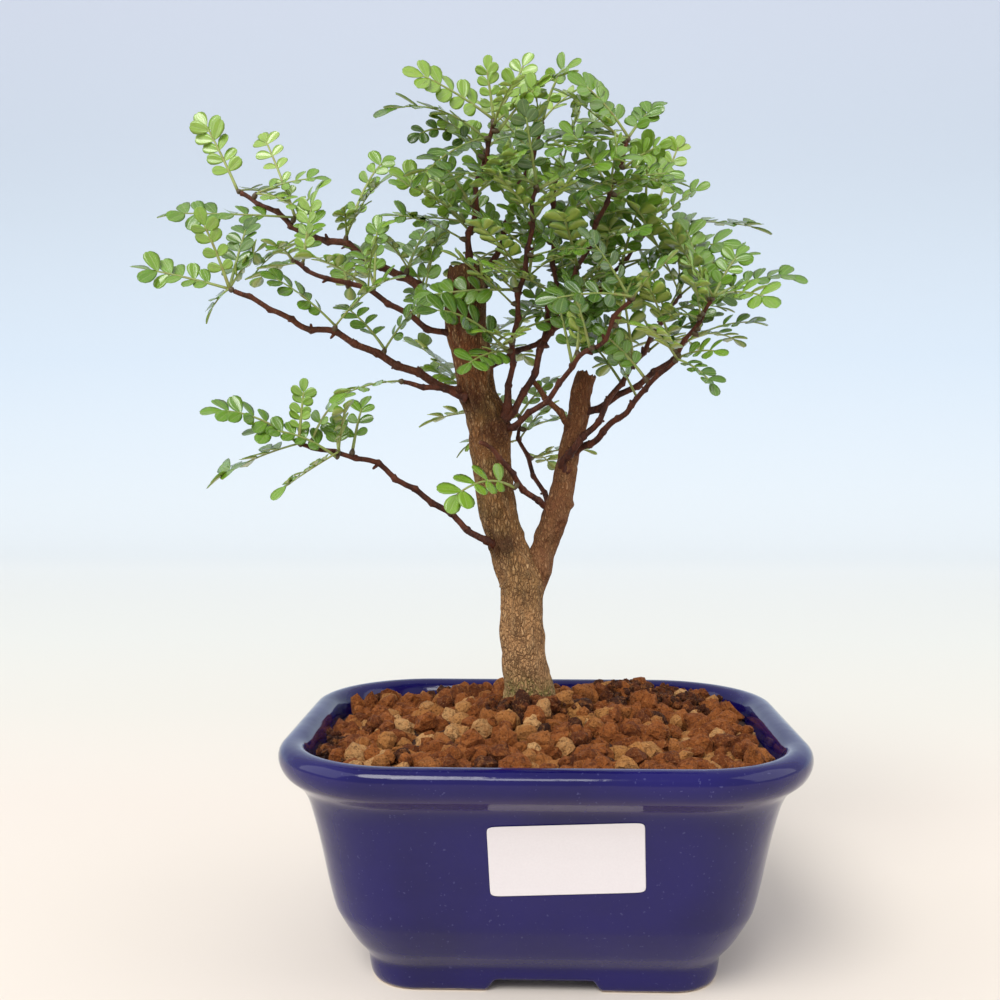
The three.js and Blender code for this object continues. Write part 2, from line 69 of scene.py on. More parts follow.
def soft_light(name, place, aim, size, power, tint):
    """A square area light at place, turned to look at aim, both in millimetres."""
    data = bpy.data.lights.new(name, "AREA")
    data.size, data.energy, data.color = size, power, tint
    light = bpy.data.objects.new(name, data)
    light.location = placed(place)
    way = placed(aim) - placed(place)
    light.rotation_euler = (math.acos(-way[2] / np.linalg.norm(way)), 0, math.atan2(-way[0], way[1]))
    bpy.context.collection.objects.link(light)


soft_light("Light_left", (-950, -200, 620), (0, 0, 150), 0.9, 3.0, (0.97, 0.98, 1))
soft_light("Light_front", (-150, -1500, 1250), (0, 0, 230), 0.5, 5.5, (0.98, 0.99, 1))
soft_light("Light_right", (900, -150, 600), (0, 0, 150), 0.9, 2.6, (1, 0.99, 0.97))
sun_data = bpy.data.lights.new("Light_high", "SUN")
sun_data.energy, sun_data.angle, sun_data.color = 1.9, math.radians(30), (1, 0.985, 0.96)
sun = bpy.data.objects.new("Light_high", sun_data)
sun.rotation_euler = (math.radians(40), 0, math.radians(-28))
bpy.context.collection.objects.link(sun)

# The floor and the backdrop: one pale sheet that runs back level and then curves up, lit
# evenly under a sky that is faintly blue. Its colour is painted light: warm on the floor and
# faintly blue up the curve, for how the light falls along it.


class Wire:
    """A shader socket that adds a Math node where it meets a number or another socket."""

    def __init__(self, tree, socket=None):
        self.tree, self.socket = tree, socket

    def add(self, kind, settings=(), sockets=(), out=0):
        """Adds a node, sets its settings, then its sockets' values or links."""
        node = self.tree.nodes.new(kind)
        for key, value in dict(settings).items():
            if key == "stops":
                for spot, tint in value[1:-1]:
                    node.color_ramp.elements.new(spot)
                for element, (spot, tint) in zip(node.color_ramp.elements, value):
                    element.position, element.color = spot, (*tint, 1)
            else:
                setattr(node, key, value)
        for key, value in dict(sockets).items():
            if isinstance(value, Wire):
                self.tree.links.new(value.socket, node.inputs[key])
            else:
                node.inputs[key].default_value = value
        return Wire(self.tree, node.outputs[out] if len(node.outputs) else None)

    def maths(self, operation, a, b):
        """A Math node of two numbers."""
        return self.add("ShaderNodeMath", {"operation": operation}, {0: a, 1: b})

    def __add__(self, other):
        return self.maths("ADD", self, other)

    def __radd__(self, other):
        return self.maths("ADD", other, self)

    def __sub__(self, other):
        return self.maths("SUBTRACT", self, other)

    def __rsub__(self, other):
        return self.maths("SUBTRACT", other, self)

    def __mul__(self, other):
        return self.maths("MULTIPLY", self, other)

    def __rmul__(self, other):
        return self.maths("MULTIPLY", other, self)

    def step(self, low, high):
        """Rises smoothly from 0 at low to 1 at high."""
        return self.add(
            "ShaderNodeMapRange",
            {"interpolation_type": "SMOOTHSTEP"},
            {"Value": self, "From Min": low, "From Max": high},
        )

    def noise(self, place, scale, detail=3.0, roughness=0.5):
        """A noise of that many features a metre at the place."""
        return self.add(
            "ShaderNodeTexNoise",
            sockets={"Vector": place, "Scale": scale, "Detail": detail, "Roughness": roughness},
        )

    def ramp(self, stops):
        """The colour at this value on a ramp of (value, colour) stops from 0 to 1."""
        return self.add("ShaderNodeValToRGB", {"stops": stops}, {"Fac": self})

    def kept(self, name):
        """The number kept on the piece's points under that name."""
        return self.add("ShaderNodeAttribute", {"attribute_name": name}, out=2)

    def height(self):
        """How high this place is, in metres."""
        return self.add("ShaderNodeSeparateXYZ", sockets={"Vector": self}, out=2)

    def mix(self, low, high):
        """A colour between low and high, by this value."""
        return self.add(
            "ShaderNodeMix", {"data_type": "RGBA"}, {0: self, 6: colour(low), 7: colour(high)}, out=2
        )

    def bump(self, strength, distance):
        """A normal from this height, at distance metres for a whole unit."""
        return self.add(
            "ShaderNodeBump", sockets={"Strength": strength, "Distance": distance, "Height": self}
        )


def colour(value):
    """A colour's link, or its numbers with a full alpha."""
    return value if isinstance(value, Wire) else (*value, 1)


def new_material(name):
    """An empty node material, its wire maker and its Object coordinates."""
    material = bpy.data.materials.new(name)
    material.use_nodes = True
    material.node_tree.nodes.clear()
    wire = Wire(material.node_tree)
    return material, wire, wire.add("ShaderNodeTexCoord", out=3)


def finish_material(wire, **sockets):
    """Closes a material with a Principled shader whose sockets are named with underscores."""
    named = {key.replace("_", " "): value for key, value in sockets.items()}
    shader = wire.add("ShaderNodeBsdfPrincipled", sockets=named)
    wire.add("ShaderNodeOutputMaterial", sockets={"Surface": shader})


def make_piece(name, points, faces, material, values=(), smooth=True):
    """A mesh object at the origin, with float values kept on its points."""
    mesh = bpy.data.meshes.new(name)
    mesh.from_pydata(points, [], faces)
    mesh.polygons.foreach_set("use_smooth", np.full(len(mesh.polygons), smooth))
    for key, value in dict(values).items():
        mesh.attributes.new(key, "FLOAT", "POINT").data.foreach_set("value", np.ravel(value))
    mesh.materials.append(material)
    piece = bpy.data.objects.new(name, mesh)
    bpy.context.collection.objects.link(piece)
    return piece


def make_stage():
    """Point (s, t) is s across and t along a level run that bends up in a quarter circle; t is
    kept in metres on the points."""
    bend, run, rise, steps = 900.0, 1500.0, 2340.0, 25
    across = np.linspace(-4000, 4000, 3)
    along = np.concatenate([np.linspace(-3000, run, 4), run + np.linspace(0, rise, steps)[1:]])
    turn = np.clip((along - run) / bend, 0, math.pi / 2)
    y = np.where(along < run, along, run + bend * np.sin(turn))
    z = bend * (1 - np.cos(turn)) + np.maximum(along - run - bend * math.pi / 2, 0)
    grid = np.stack(np.broadcast_arrays(across[:, None], y[None], z[None]), -1)
    i, j = np.mgrid[0 : len(across) - 1, 0 : len(along) - 1]
    corner = i * len(along) + j
    faces = np.stack([corner, corner + len(along), corner + len(along) + 1, corner + 1], -1)
    run_values = np.tile(along / 1000, len(across))
    return placed(grid.reshape(-1, 3)), faces.reshape(-1, 4).tolist(), {"run": run_values}


paper, wire, place = new_material("Backdrop_paper")
# Painted light and shade: the colour is set by how far along the sheet a point lies, warm on the floor and
# faintly blue up the curve, for how the light falls there.
tint = (wire.kept("run") * 0.29).ramp([
    (0.0, (0.78, 0.71, 0.63)), (0.045, (0.755, 0.69, 0.62)), (0.106, (0.72, 0.70, 0.64)),
    (0.19, (0.725, 0.735, 0.695)), (0.37, (0.74, 0.77, 0.765)), (0.545, (0.665, 0.725, 0.765)),
    (0.687, (0.585, 0.675, 0.77)), (0.80, (0.58, 0.66, 0.755)), (1.0, (0.61, 0.66, 0.78)),
])
finish_material(wire, Base_Color=tint, Roughness=0.95)
points, faces, values = make_stage()
make_piece("Backdrop", points, faces, paper, values)

world = bpy.data.worlds.new("World")
world.use_nodes = True
for socket, value in (("Color", (0.97, 0.97, 1.0, 1)), ("Strength", 0.62)):
    world.node_tree.nodes["Background"].inputs[socket].default_value = value
bpy.context.scene.world = world

# The pot: one stoneware body under a thick cobalt glaze, pressed in a mould. A rolled lip
# overhangs the wall, the belly draws in to a waist, and the foot has a shallow cut-out in
# front and behind, wiped bare where it stands.
POT_PROFILE = np.array([
    (37, 5), (35.2, 4.6), (34.8, 0.4), (34, 0), (32, 0), (30.6, 0.35), (29.9, 1.2), (29.4, 3),
    (29.0, 5.5), (28.7, 8), (27.9, 9.4), (26, 11.8), (24.2, 14), (21.7, 18), (19.2, 22.5),
    (17.7, 26), (15.8, 34), (14.2, 42), (12.5, 50), (10.5, 58), (9.0, 62.5), (7.0, 66),
    (4.4, 68.4), (1.9, 70.6), (0.4, 73.4), (0, 76), (0.6, 78.2), (2.2, 79.7), (4.4, 80.2),
    (6.6, 79.8), (8.4, 78.4), (9.6, 76), (10.6, 72), (14, 60), (19, 40), (24, 24), (31, 14),
    (36, 11),
])
WALL_ROWS = slice(12, 22)
RIM = np.array([175.0, 144.4])
RIM_CORNER, CORNER_SHRINK = 42.3, 0.88
NOTCH = {"bottom": 19.0, "top": 15.0, "height": 4.4}
POT_STEPS, CORNER_STEPS, FRONT_STEPS, SIDE_STEPS = 150, 22, 70, 24


def smooth_run(points, count, wanted=None):
    """A Catmull-Rom curve through the points, at count even steps of chord length."""
    points = np.asarray(points, float)
    padded = np.vstack([2 * points[0] - points[1], points, 2 * points[-1] - points[-2]])
    reach = np.linalg.norm(np.diff(points[:, :3], axis=0), axis=1)
    knots = np.concatenate([[0], np.cumsum(reach)])
    at = np.linspace(0, knots[-1], count) if wanted is None else np.asarray(wanted) * knots[-1]
    k = np.clip(np.searchsorted(knots, at, side="right") - 1, 0, len(points) - 2)
    t = ((at - knots[k]) / reach[k])[:, None]
    a, b, c, d = (padded[k + i] for i in range(4))
    square, cube = 2 * a - 5 * b + 4 * c - d, 3 * b - a - 3 * c + d
    return 0.5 * (2 * b + (c - a) * t + square * t**2 + cube * t**3)


def pot_outline(inset, corner_steps, front_steps, side_steps):
    """Points round a rounded rectangle at each inset: quarter circles joined by straight runs."""
    inset = np.asarray(inset, float)[:, None]
    corner = np.maximum(RIM_CORNER - CORNER_SHRINK * inset, 4)
    x, y = RIM[0] / 2 - inset - corner, RIM[1] / 2 - inset - corner
    turn = np.linspace(0, math.pi / 2, corner_steps + 1)
    runs = []
    for quarter, (sx, sy) in enumerate([(1, 1), (-1, 1), (-1, -1), (1, -1)]):
        angle = turn + quarter * math.pi / 2
        px, py = sx * x + corner * np.cos(angle), sy * y + corner * np.sin(angle)
        nx, ny = [(-1, 1), (-1, -1), (1, -1), (1, 1)][quarter]
        steps = side_steps if quarter % 2 else front_steps
        part = np.linspace(0, 1, steps + 1)[1:-1]
        qx, qy = nx * x + corner * math.cos(angle[-1]), ny * y + corner * math.sin(angle[-1])
        straight = [px[:, -1:] * (1 - part) + qx * part, py[:, -1:] * (1 - part) + qy * part]
        runs += [np.stack([px, py], -1), np.stack(straight, -1)]
    return np.concatenate(runs, 1)


def closed_skin(rows):
    """Point i of row j is rows[j, i]; rows wrap round, and each end row closes to its mean."""
    count, around = rows.shape[:2]
    j, i = np.mgrid[0 : count - 1, 0:around]
    k = (i + 1) % around
    quads = np.stack([j * around + i, j * around + k, (j + 1) * around + k, (j + 1) * around + i], -1)
    i, k = np.arange(around), (np.arange(around) + 1) % around
    first = np.stack([np.full(around, count * around), k, i], -1)
    last = (count - 1) * around
    final = np.stack([np.full(around, count * around + 1), last + i, last + k], -1)
    points = np.concatenate([rows.reshape(-1, 3), [rows[0].mean(0)], [rows[-1].mean(0)]])
    return points, quads.reshape(-1, 4).tolist() + first.tolist() + final.tolist()


def make_pot():
    """Profile rows carried round the outline; foot points in front and behind are raised to
    the cut-out, whose height falls from its top to nothing between its two half widths."""
    profile = smooth_run(POT_PROFILE, POT_STEPS)
    outline = pot_outline(profile[:, 0], CORNER_STEPS, FRONT_STEPS, SIDE_STEPS)
    height = np.broadcast_to(profile[:, 1:2], outline.shape[:2])
    across = np.abs(outline[..., 0])
    lift = np.clip((NOTCH["bottom"] - across) / (NOTCH["bottom"] - NOTCH["top"]), 0, 1)
    lift = np.where(np.abs(outline[..., 1]) > 30, NOTCH["height"] * lift * lift * (3 - 2 * lift), 0)
    foot = profile[:, 1:2] < NOTCH["height"]
    height = np.where(foot, lift + height * (1 - lift / NOTCH["height"]), height)
    return closed_skin(placed(np.concatenate([outline, height[..., None]], -1)))


glaze, wire, place = new_material("Cobalt_glaze")
height = place.height()
pooled = wire.noise(place, 26, 3)
specks = wire.noise(place, 900, 1).step(0.70, 0.76)
bare = 1 - (height + 0.0004 * (wire.noise(place, 300, 2) - 0.5)).step(0.0005, 0.0009)
blue = pooled.step(0.3, 0.7).mix((0.005, 0.003, 0.070), (0.008, 0.005, 0.100))
below_lip = height.step(0.064, 0.069) * (1 - height.step(0.069, 0.0735))
blue = (below_lip * 0.5).mix(blue, (0.045, 0.022, 0.085))
blue = (specks * 0.35).mix(blue, (0.09, 0.09, 0.24))
finish_material(
    wire,
    Base_Color=bare.mix(blue, (0.62, 0.52, 0.42)),
    Roughness=0.07 + 0.05 * pooled + 0.6 * bare,
    Normal=(wire.noise(place, 60, 2) + 0.06 * wire.noise(place, 700, 2)).bump(0.25, 0.0012),
    IOR=1.44,
)
pot = make_piece("Pot_glazed", *make_pot(), glaze)
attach(pot, "root")
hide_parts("pot")

# The label: a blank sticker of white paper with rounded corners, stuck on the pot's front by
# hand and so a little askew.
LABEL = {"middle": (6.8, 50.0), "half": (24.0, 11.8), "tilt": 2.4, "thick": 0.22, "clear": 0.12}
SQUARENESS, LABEL_RINGS, LABEL_AROUND = 22.0, 8, 240


def wall_front(height):
    """How far in front of the pot's middle its front wall is at a height."""
    wall = POT_PROFILE[WALL_ROWS]
    return RIM[1] / 2 - np.interp(height, wall[:, 1], wall[:, 0])


def make_label():
    """Rings shrunk from |x/a|^n + |y/b|^n = 1, a rectangle with small round corners, under and
    then over the paper and laid on the wall; the rim row is shared."""
    turn = np.linspace(0, 2 * math.pi, LABEL_AROUND, endpoint=False)
    way = np.stack([np.cos(turn), np.sin(turn)], -1)
    edge = (np.abs(way) ** SQUARENESS).sum(-1, keepdims=True) ** (1 / SQUARENESS)
    edge = LABEL["half"] * way / edge
    inward = np.append(np.linspace(0.02, 0.985, LABEL_RINGS - 1), 0.996)
    flat = np.concatenate([inward, [1.0], inward[::-1]])[:, None, None] * edge
    tilt = math.radians(LABEL["tilt"])
    x = LABEL["middle"][0] + flat[..., 0] * math.cos(tilt) - flat[..., 1] * math.sin(tilt)
    z = LABEL["middle"][1] + flat[..., 0] * math.sin(tilt) + flat[..., 1] * math.cos(tilt)
    proud = LABEL["clear"] + LABEL["thick"] * np.repeat([0.0, 0.5, 1.0], [LABEL_RINGS, 1, LABEL_RINGS])
    y = -wall_front(z) - proud[:, None]
    return closed_skin(placed(np.stack([x, y, z], -1)))


sticker, wire, place = new_material("Label_paper")
fibre = wire.noise(place, 1500, 3)
finish_material(
    wire,
    Base_Color=fibre.mix((0.72, 0.685, 0.71), (0.78, 0.75, 0.77)),
    Roughness=0.42 + 0.15 * fibre,
    Normal=fibre.bump(0.15, 0.00005),
)
label = make_piece("Label_paper", *make_label(), sticker)
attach(label, "root")
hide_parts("label")

# The soil: fired clay grains of 4 to 8 mm, mostly rust-brown with some pale and some dark
# ones, loose on a bed of the same soil, heaped round the trunk and at the back right. The bed
# is painted near black, as painted shade in the gaps between the grains.
SOIL_LEVEL, BED_DEPTH = 75.5, 3.2
MOUNDS = [((-6, 16), 9.5, 23), ((34, 46), 5, 14)]
TRUNK_FOOT, TRUNK_CLEAR = (-6, 16.5), 8.6
INNER_HALF, INNER_CORNER = (44, 28.5), 32.7
GRAIN_SPACING, LOOSE_GRAINS = 7.3, 250
LAID = {"radius": (3.5, 5.0), "lift": (-4.6, -1.2)}
LOOSE = {"radius": (2.2, 4.6), "lift": (-0.4, 1.3)}
BALL_ROWS, BALL_AROUND, BALL_FLATS = 8, 9, 9


def soil_height(x, y):
    """The bed's level plus a bell-shaped rise at each mound."""
    return SOIL_LEVEL + sum(
        rise * np.exp(-((x - at[0]) ** 2 + (y - at[1]) ** 2) / (2 * spread**2))
        for at, rise, spread in MOUNDS
    )


def make_bed():
    """Rings of the pot's inner outline, closing over the bed's height, with a wall below."""
    wall_inset, wall_height = np.array([(38, 12), (30, 16), (20, 38), (15, 56), (12, 70), (11, 72)]).T
    inset = np.append(wall_inset, [12.5, 16, 20, 26, 32, 38, 44, 50, 56, 62, 66])
    outline = pot_outline(inset, 8, 16, 12)
    height = soil_height(outline[..., 0], outline[..., 1]) - BED_DEPTH
    height[: len(wall_height)] = wall_height[:, None]
    return closed_skin(placed(np.concatenate([outline, height[..., None]], -1)))


def lumpy_balls(spots, size, height, random):
    """Balls whose radius along a direction d is 1 plus six small cosines of d's part along
    random ways, cut by random planes, then stretched, turned and set at their spots."""
    count = len(spots)
    lat = np.linspace(0.02, math.pi - 0.02, BALL_ROWS)[:, None]
    lon = np.linspace(0, 2 * math.pi, BALL_AROUND, endpoint=False)
    way = np.stack([np.sin(lat) * np.cos(lon), np.sin(lat) * np.sin(lon), -np.cos(lat) + 0 * lon], -1)
    ripples = random.normal(0, 4.2, (count, 6, 3))
    phase = random.uniform(0, 6.28, (count, 1, 1, 6))
    radius = 1 + 0.075 * np.cos(np.einsum("rcx,gkx->grck", way, ripples) + phase).sum(-1)
    planes = random.normal(0, 1, (count, BALL_FLATS, 3))
    planes /= np.linalg.norm(planes, axis=-1, keepdims=True)
    reach = random.uniform(0.66, 1.0, (count, BALL_FLATS))
    facing = np.einsum("rcx,gkx->grck", way, planes)
    flats = (reach[:, None, None] / np.maximum(facing, 0.05)).min(-1)
    radius = np.minimum(radius, flats) * (1 + random.normal(0, 0.05, radius.shape))
    axes = np.linalg.qr(random.normal(0, 1, (count, 3, 3)))[0]
    axes *= np.sign(np.linalg.det(axes))[:, None, None]
    longer, flatter = random.uniform(1, 1.35, count), random.uniform(0.75, 1, count)
    stretch = np.stack([longer, np.ones(count), flatter], -1)
    local = radius[..., None] * way * (size[:, None] * stretch)[:, None, None, :]
    middle = np.concatenate([spots, height[:, None]], -1)
    return np.einsum("grcx,gxy->grcy", local, axes) + middle[:, None, None, :]


def from_trunk(spots):
    """How far spots are from the trunk's middle."""
    return np.hypot(*(spots - TRUNK_FOOT).T)


def from_inner(spots):
    """How far spots lie outside the rectangle that the pot's inner corners are struck from."""
    return np.hypot(*np.maximum(np.abs(spots) - INNER_HALF, 0).T)


def make_grains(random):
    """Grain bodies on a shaken triangular grid, with loose ones on top, and their spots."""
    i, j = np.mgrid[-16:17, -16:17]
    spots = np.stack([i + 0.5 * (j % 2), j * 0.866], -1).reshape(-1, 2) * GRAIN_SPACING
    upper = np.arange(len(spots) + LOOSE_GRAINS) >= len(spots)
    spots = np.concatenate([spots, random.uniform(-80, 80, (LOOSE_GRAINS, 2)) * [1, 0.85]])
    spots = spots + random.normal(0, 1.1, spots.shape)
    count = len(spots)
    size = np.where(upper, *(random.uniform(*kind["radius"], count) for kind in (LOOSE, LAID)))
    kept = (from_inner(spots) < INNER_CORNER - size) & (from_trunk(spots) > TRUNK_CLEAR + 0.6 * size)
    spots, size, upper = spots[kept], size[kept], upper[kept]
    count = len(spots)
    lift = np.where(upper, *(random.uniform(*kind["lift"], count) for kind in (LOOSE, LAID)))
    return lumpy_balls(spots, size, soil_height(*spots.T) + lift, random), spots


def repeat_skin(bodies):
    """One mesh of many closed skins of the same rows, body g at bodies[g]."""
    faces = closed_skin(bodies[0])[1]
    ends = np.stack([bodies[:, 0].mean(1), bodies[:, -1].mean(1)], 1)
    points = np.concatenate([bodies.reshape(len(bodies), -1, 3), ends], 1)
    each = points.shape[1]
    shift = (np.arange(len(bodies)) * each)[:, None, None]
    spread = []
    for sides in (4, 3):
        alike = np.array([face for face in faces if len(face) == sides])
        spread += (alike + shift).reshape(-1, sides).tolist()
    return points.reshape(-1, 3), spread, each


clay, wire, place = new_material("Fired_clay_grains")
body = wire.kept("tone").ramp([
    (0.0, (0.020, 0.006, 0.003)), (0.14, (0.070, 0.016, 0.004)), (0.36, (0.190, 0.048, 0.008)),
    (0.60, (0.300, 0.088, 0.017)), (0.80, (0.45, 0.20, 0.055)), (1.0, (0.64, 0.37, 0.155)),
])
mottle_and_shade = wire.noise(place, 430, 5, 0.72)
grit_and_pit_shade = wire.noise(place, 1500, 3, 0.65)
# The clay's own mottle and pale grit, with painted shade: the near-black marks fall where the bump's height
# is low, in the grains' hollows and pits.
body = (mottle_and_shade.step(0.48, 0.66) * 0.5).mix(body, (0.44, 0.155, 0.036))
body = ((1 - mottle_and_shade.step(0.32, 0.48)) * 0.65).mix(body, (0.045, 0.010, 0.004))
body = ((1 - grit_and_pit_shade.step(0.34, 0.46)) * 0.6).mix(body, (0.030, 0.008, 0.004))
body = (grit_and_pit_shade.step(0.58, 0.70) * 0.4).mix(body, (0.56, 0.32, 0.14))
finish_material(
    wire,
    Base_Color=body,
    Roughness=0.95,
    Specular_IOR_Level=0.3,
    Normal=(mottle_and_shade + 0.5 * grit_and_pit_shade).bump(1.0, 0.0018),
)
# Painted shade: the bed shows only in the gaps between the grains and is coloured near black for the shade
# there.
bed_shade, wire, place = new_material("Painted_shade_soil_bed")
crumb = wire.noise(place, 500, 4, 0.6)
finish_material(
    wire,
    Base_Color=crumb.mix((0.010, 0.004, 0.003), (0.070, 0.022, 0.009)),
    Roughness=0.97,
    Normal=crumb.bump(0.9, 0.002),
)


def near(spots, at, spread):
    """A bell of height 1 about a place, with its own spread across and back."""
    return np.exp(-(((spots - at) / spread) ** 2).sum(-1))


bed = make_piece("Soil_bed", *make_bed(), bed_shade)
random = np.random.default_rng(12)
grain_bodies, grain_spots = make_grains(random)
points, faces, each = repeat_skin(placed(grain_bodies))
chance = random.uniform(0, 1, (2, len(grain_spots)))
tones = random.normal(0.50, 0.13, len(grain_spots))
pale_share = 0.10 + 0.5 * near(grain_spots, [-34, 2], [22, 16])
pale_share += 0.45 * near(grain_spots, [4, -4], [16, 12])
pale_share += 0.25 * near(grain_spots, [60, 10], [14, 24])
tones = np.where(chance[0] < pale_share, random.uniform(0.72, 0.98, len(tones)), tones)
dark_share = 0.05 + near(grain_spots, [-74, -34], [9, 12]) + near(grain_spots, [-8, 4], [8, 5])
dark_share += 0.7 * near(grain_spots, [42, 44], [18, 12])
tones = np.where(chance[1] < dark_share, random.uniform(0, 0.16, len(tones)), tones)
values = {"tone": np.repeat(np.clip(tones, 0, 1), each)}
grains = make_piece("Soil_grains", points, faces, clay, values, False)
crumb_spots = np.concatenate([
    random.normal([46, 42], [13, 8], (260, 2)), random.normal([-8, 3], [8, 3], (70, 2)),
    random.normal([-72, -30], [4, 9], (60, 2)),
])
crumb_spots = crumb_spots[(from_inner(crumb_spots) < 30.5) & (from_trunk(crumb_spots) > 10)]
count = len(crumb_spots)
crumb_size = random.uniform(0.7, 1.9, count)
crumb_height = soil_height(*crumb_spots.T) + random.uniform(0.2, 2.4, count)
points, faces, each = repeat_skin(placed(lumpy_balls(crumb_spots, crumb_size, crumb_height, random)))
values = {"tone": np.repeat(random.uniform(0.02, 0.26, count), each)}
crumbs = make_piece("Soil_crumbs", points, faces, clay, values, False)
for piece in (bed, grains, crumbs):
    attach(piece, "root")
    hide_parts("soil")

# The wood: a trunk that forks low into two sawn stems, and twigs that have been let grow from
# them. Grey-brown bark with upright flecks below, smoother and red-brown on the young wood.
LIMBS = {
    "trunk": [(-6, 17, 66, 9.2), (-5.4, 17, 80, 9.0), (-5.2, 16, 87, 8.7), (-7, 14, 98, 8.2),
        (-8, 13, 119, 7.8), (-8, 13, 127, 8.4), (-11.4, 13, 135, 7.5), (-13.6, 13, 142, 6.7),
        (-16.6, 12, 154, 6.8), (-18.4, 12, 166, 6.9), (-20, 12, 184, 7.3), (-24, 11, 197, 6.4),
        (-26, 11, 209, 7), (-28, 11, 218, 7.4), (-28, 10, 229, 7.2), (-28, 10, 241, 6.5)],
    "right": [(-7, 14, 120, 6), (-2.6, 15, 131, 5.6), (0, 15.5, 138.5, 4.7), (2.2, 16, 145, 4.5),
        (4.6, 16, 152, 4.7), (7, 17, 160, 4.3), (9, 18, 172, 3.9), (11, 18, 181, 4), (13, 19, 189, 4.1),
        (14, 20, 197, 3.8), (16, 20, 203, 3.3)],
    "a": [(-15, 10, 140, 2.2), (-20, 5.5, 142, 1.5), (-25, 6, 145, 1.3), (-31, 6, 150, 1.2),
        (-38, 5, 155.5, 1.2), (-48, 2, 162, 1.1), (-60, -4, 171, 1), (-72, -8, 174, 0.9),
        (-83, -12, 177, 0.8)],
    "b": [(-24, 9, 193, 2.6), (-32, 7, 196, 1.8), (-42, 3, 201, 1.6), (-57, -2, 208, 1.4),
        (-73, -7, 216, 1.2), (-84, -10, 218, 1.1), (-92, -14, 223, 1), (-105, -18, 229, 0.9)],
    "b2": [(-28, 5, 194, 1.4), (-37, 1, 197, 1.1), (-44, -2, 198, 1), (-49, -4, 199, 0.8)],
    "c": [(-26, 14, 224, 3), (-33, 15, 228, 2), (-44, 17, 233, 1.8), (-51, 19, 239, 1.7),
        (-63, 21, 244, 1.5), (-74, 24, 252, 1.4), (-89, 27, 256, 1.2), (-99, 29, 263.5, 1.1),
        (-115, 32, 273, 0.9)],
    "d": [(-27, 10, 214, 2), (-35, 9, 217, 1.3), (-43, 8, 220, 1.2), (-57, 6, 229, 1.1), (-69, 5, 235, 1),
        (-78, 3, 236, 0.9), (-88, 2, 242, 0.8)],
    "e1": [(-15, 8, 183, 2.2), (-12, 3, 199, 1.2), (-11, 0, 210, 1.1), (-9, -4, 226, 1), (-7, -7, 237, 1),
        (-5, -9, 246, 0.9), (-4, -13, 258, 0.8), (-3, -14, 263, 0.7)],
    "e2": [(-16, 7, 183, 2), (-10, 6, 191, 1.4), (-5, 5, 199, 1.3), (0, 5, 213, 1.2), (6, 4, 226, 1.1),
        (11, 4, 237, 1), (18, 3, 253, 0.9), (25, 2, 271, 0.8), (29, 2, 283, 0.7)],
    "e3": [(-16, 8, 182, 1.8), (-9, 1, 185, 1.2), (-1, -4, 191, 1.1), (5, -8, 197, 1), (11, -14, 206, 0.9),
        (19, -19, 211, 0.8), (24, -25, 220, 0.8), (28, -28, 224, 0.7)],
    "e5": [(-22, 12, 204, 2), (-16, 14, 208, 1.2), (-2, 19, 215, 1.1), (12, 24, 226, 1), (22, 28, 236, 0.9),
        (33, 33, 250, 0.8), (40, 36, 259, 0.7)],
    "g1": [(0, 5, 212, 1.2), (2, 9, 229, 1), (4, 11, 236, 0.9), (3, 16, 251, 0.9), (3, 20, 264, 0.8),
        (6, 24, 280, 0.8), (6, 26, 286, 0.7)],
    "f1": [(-27, 9, 237, 1.8), (-27, 6, 249, 1.2), (-25, 5, 257, 1.1), (-23, 3, 272, 1), (-20, 2, 279, 0.9),
        (-18, 0, 289, 0.8)],
    "f2": [(-26, 12, 228, 2), (-18, 14, 244, 1.3), (-15, 15, 252, 1.2), (-12, 16, 262, 1.1),
        (-7, 18, 275, 1), (-3, 19, 285, 0.9), (-1, 20, 294, 0.8)],
    "h1": [(13, 18, 189, 2), (18, 17, 190, 1.5), (26, 14, 194, 1.3), (34, 11, 199, 1.2), (40, 8, 203, 1.1),
        (46, 6, 208, 1), (49, 4, 212, 0.9), (54, 1, 220, 0.8), (58, -2, 227, 0.7)],
    "h2": [(8, 16, 168, 1.8), (7.2, 13.5, 171.5, 1.6), (13.8, 10.5, 179, 1.4), (19, 9, 185, 1.2),
        (26, 10, 197, 1.1), (32, 14, 205, 1), (40, 21, 217, 0.9), (46, 30, 227, 0.8), (52, 40, 234, 0.7)],
    "h3": [(11, 17, 174, 1.8), (14.7, 14, 177, 1.4), (20, 10, 179.5, 1.3), (25, 5, 186, 1.2),
        (30, 1, 189, 1.1), (35, -5, 197, 1), (40, -9, 201, 0.9), (44, -14, 205, 0.7)],
    "i1": [(3, 20, 153, 1.6), (0, 24, 159, 1), (-6, 30, 172, 0.9), (-9, 33, 180, 0.8), (-9, 36, 187, 0.7)],
    "i2": [(3, 16, 154, 1.6), (0, 13, 155, 1.3), (-4.7, 8, 159, 1.2), (-10.3, 3, 165, 1.1),
        (-14, -1, 171, 1), (-17.5, -3, 175, 0.9), (-22.5, -5, 178, 0.7)],
    "stub": [(10, 17, 184, 1.8), (7.7, 14, 186, 1.3), (4, 11, 190.6, 1.2), (0.4, 9, 195, 1.1),
        (-4, 7, 200, 1)],
}
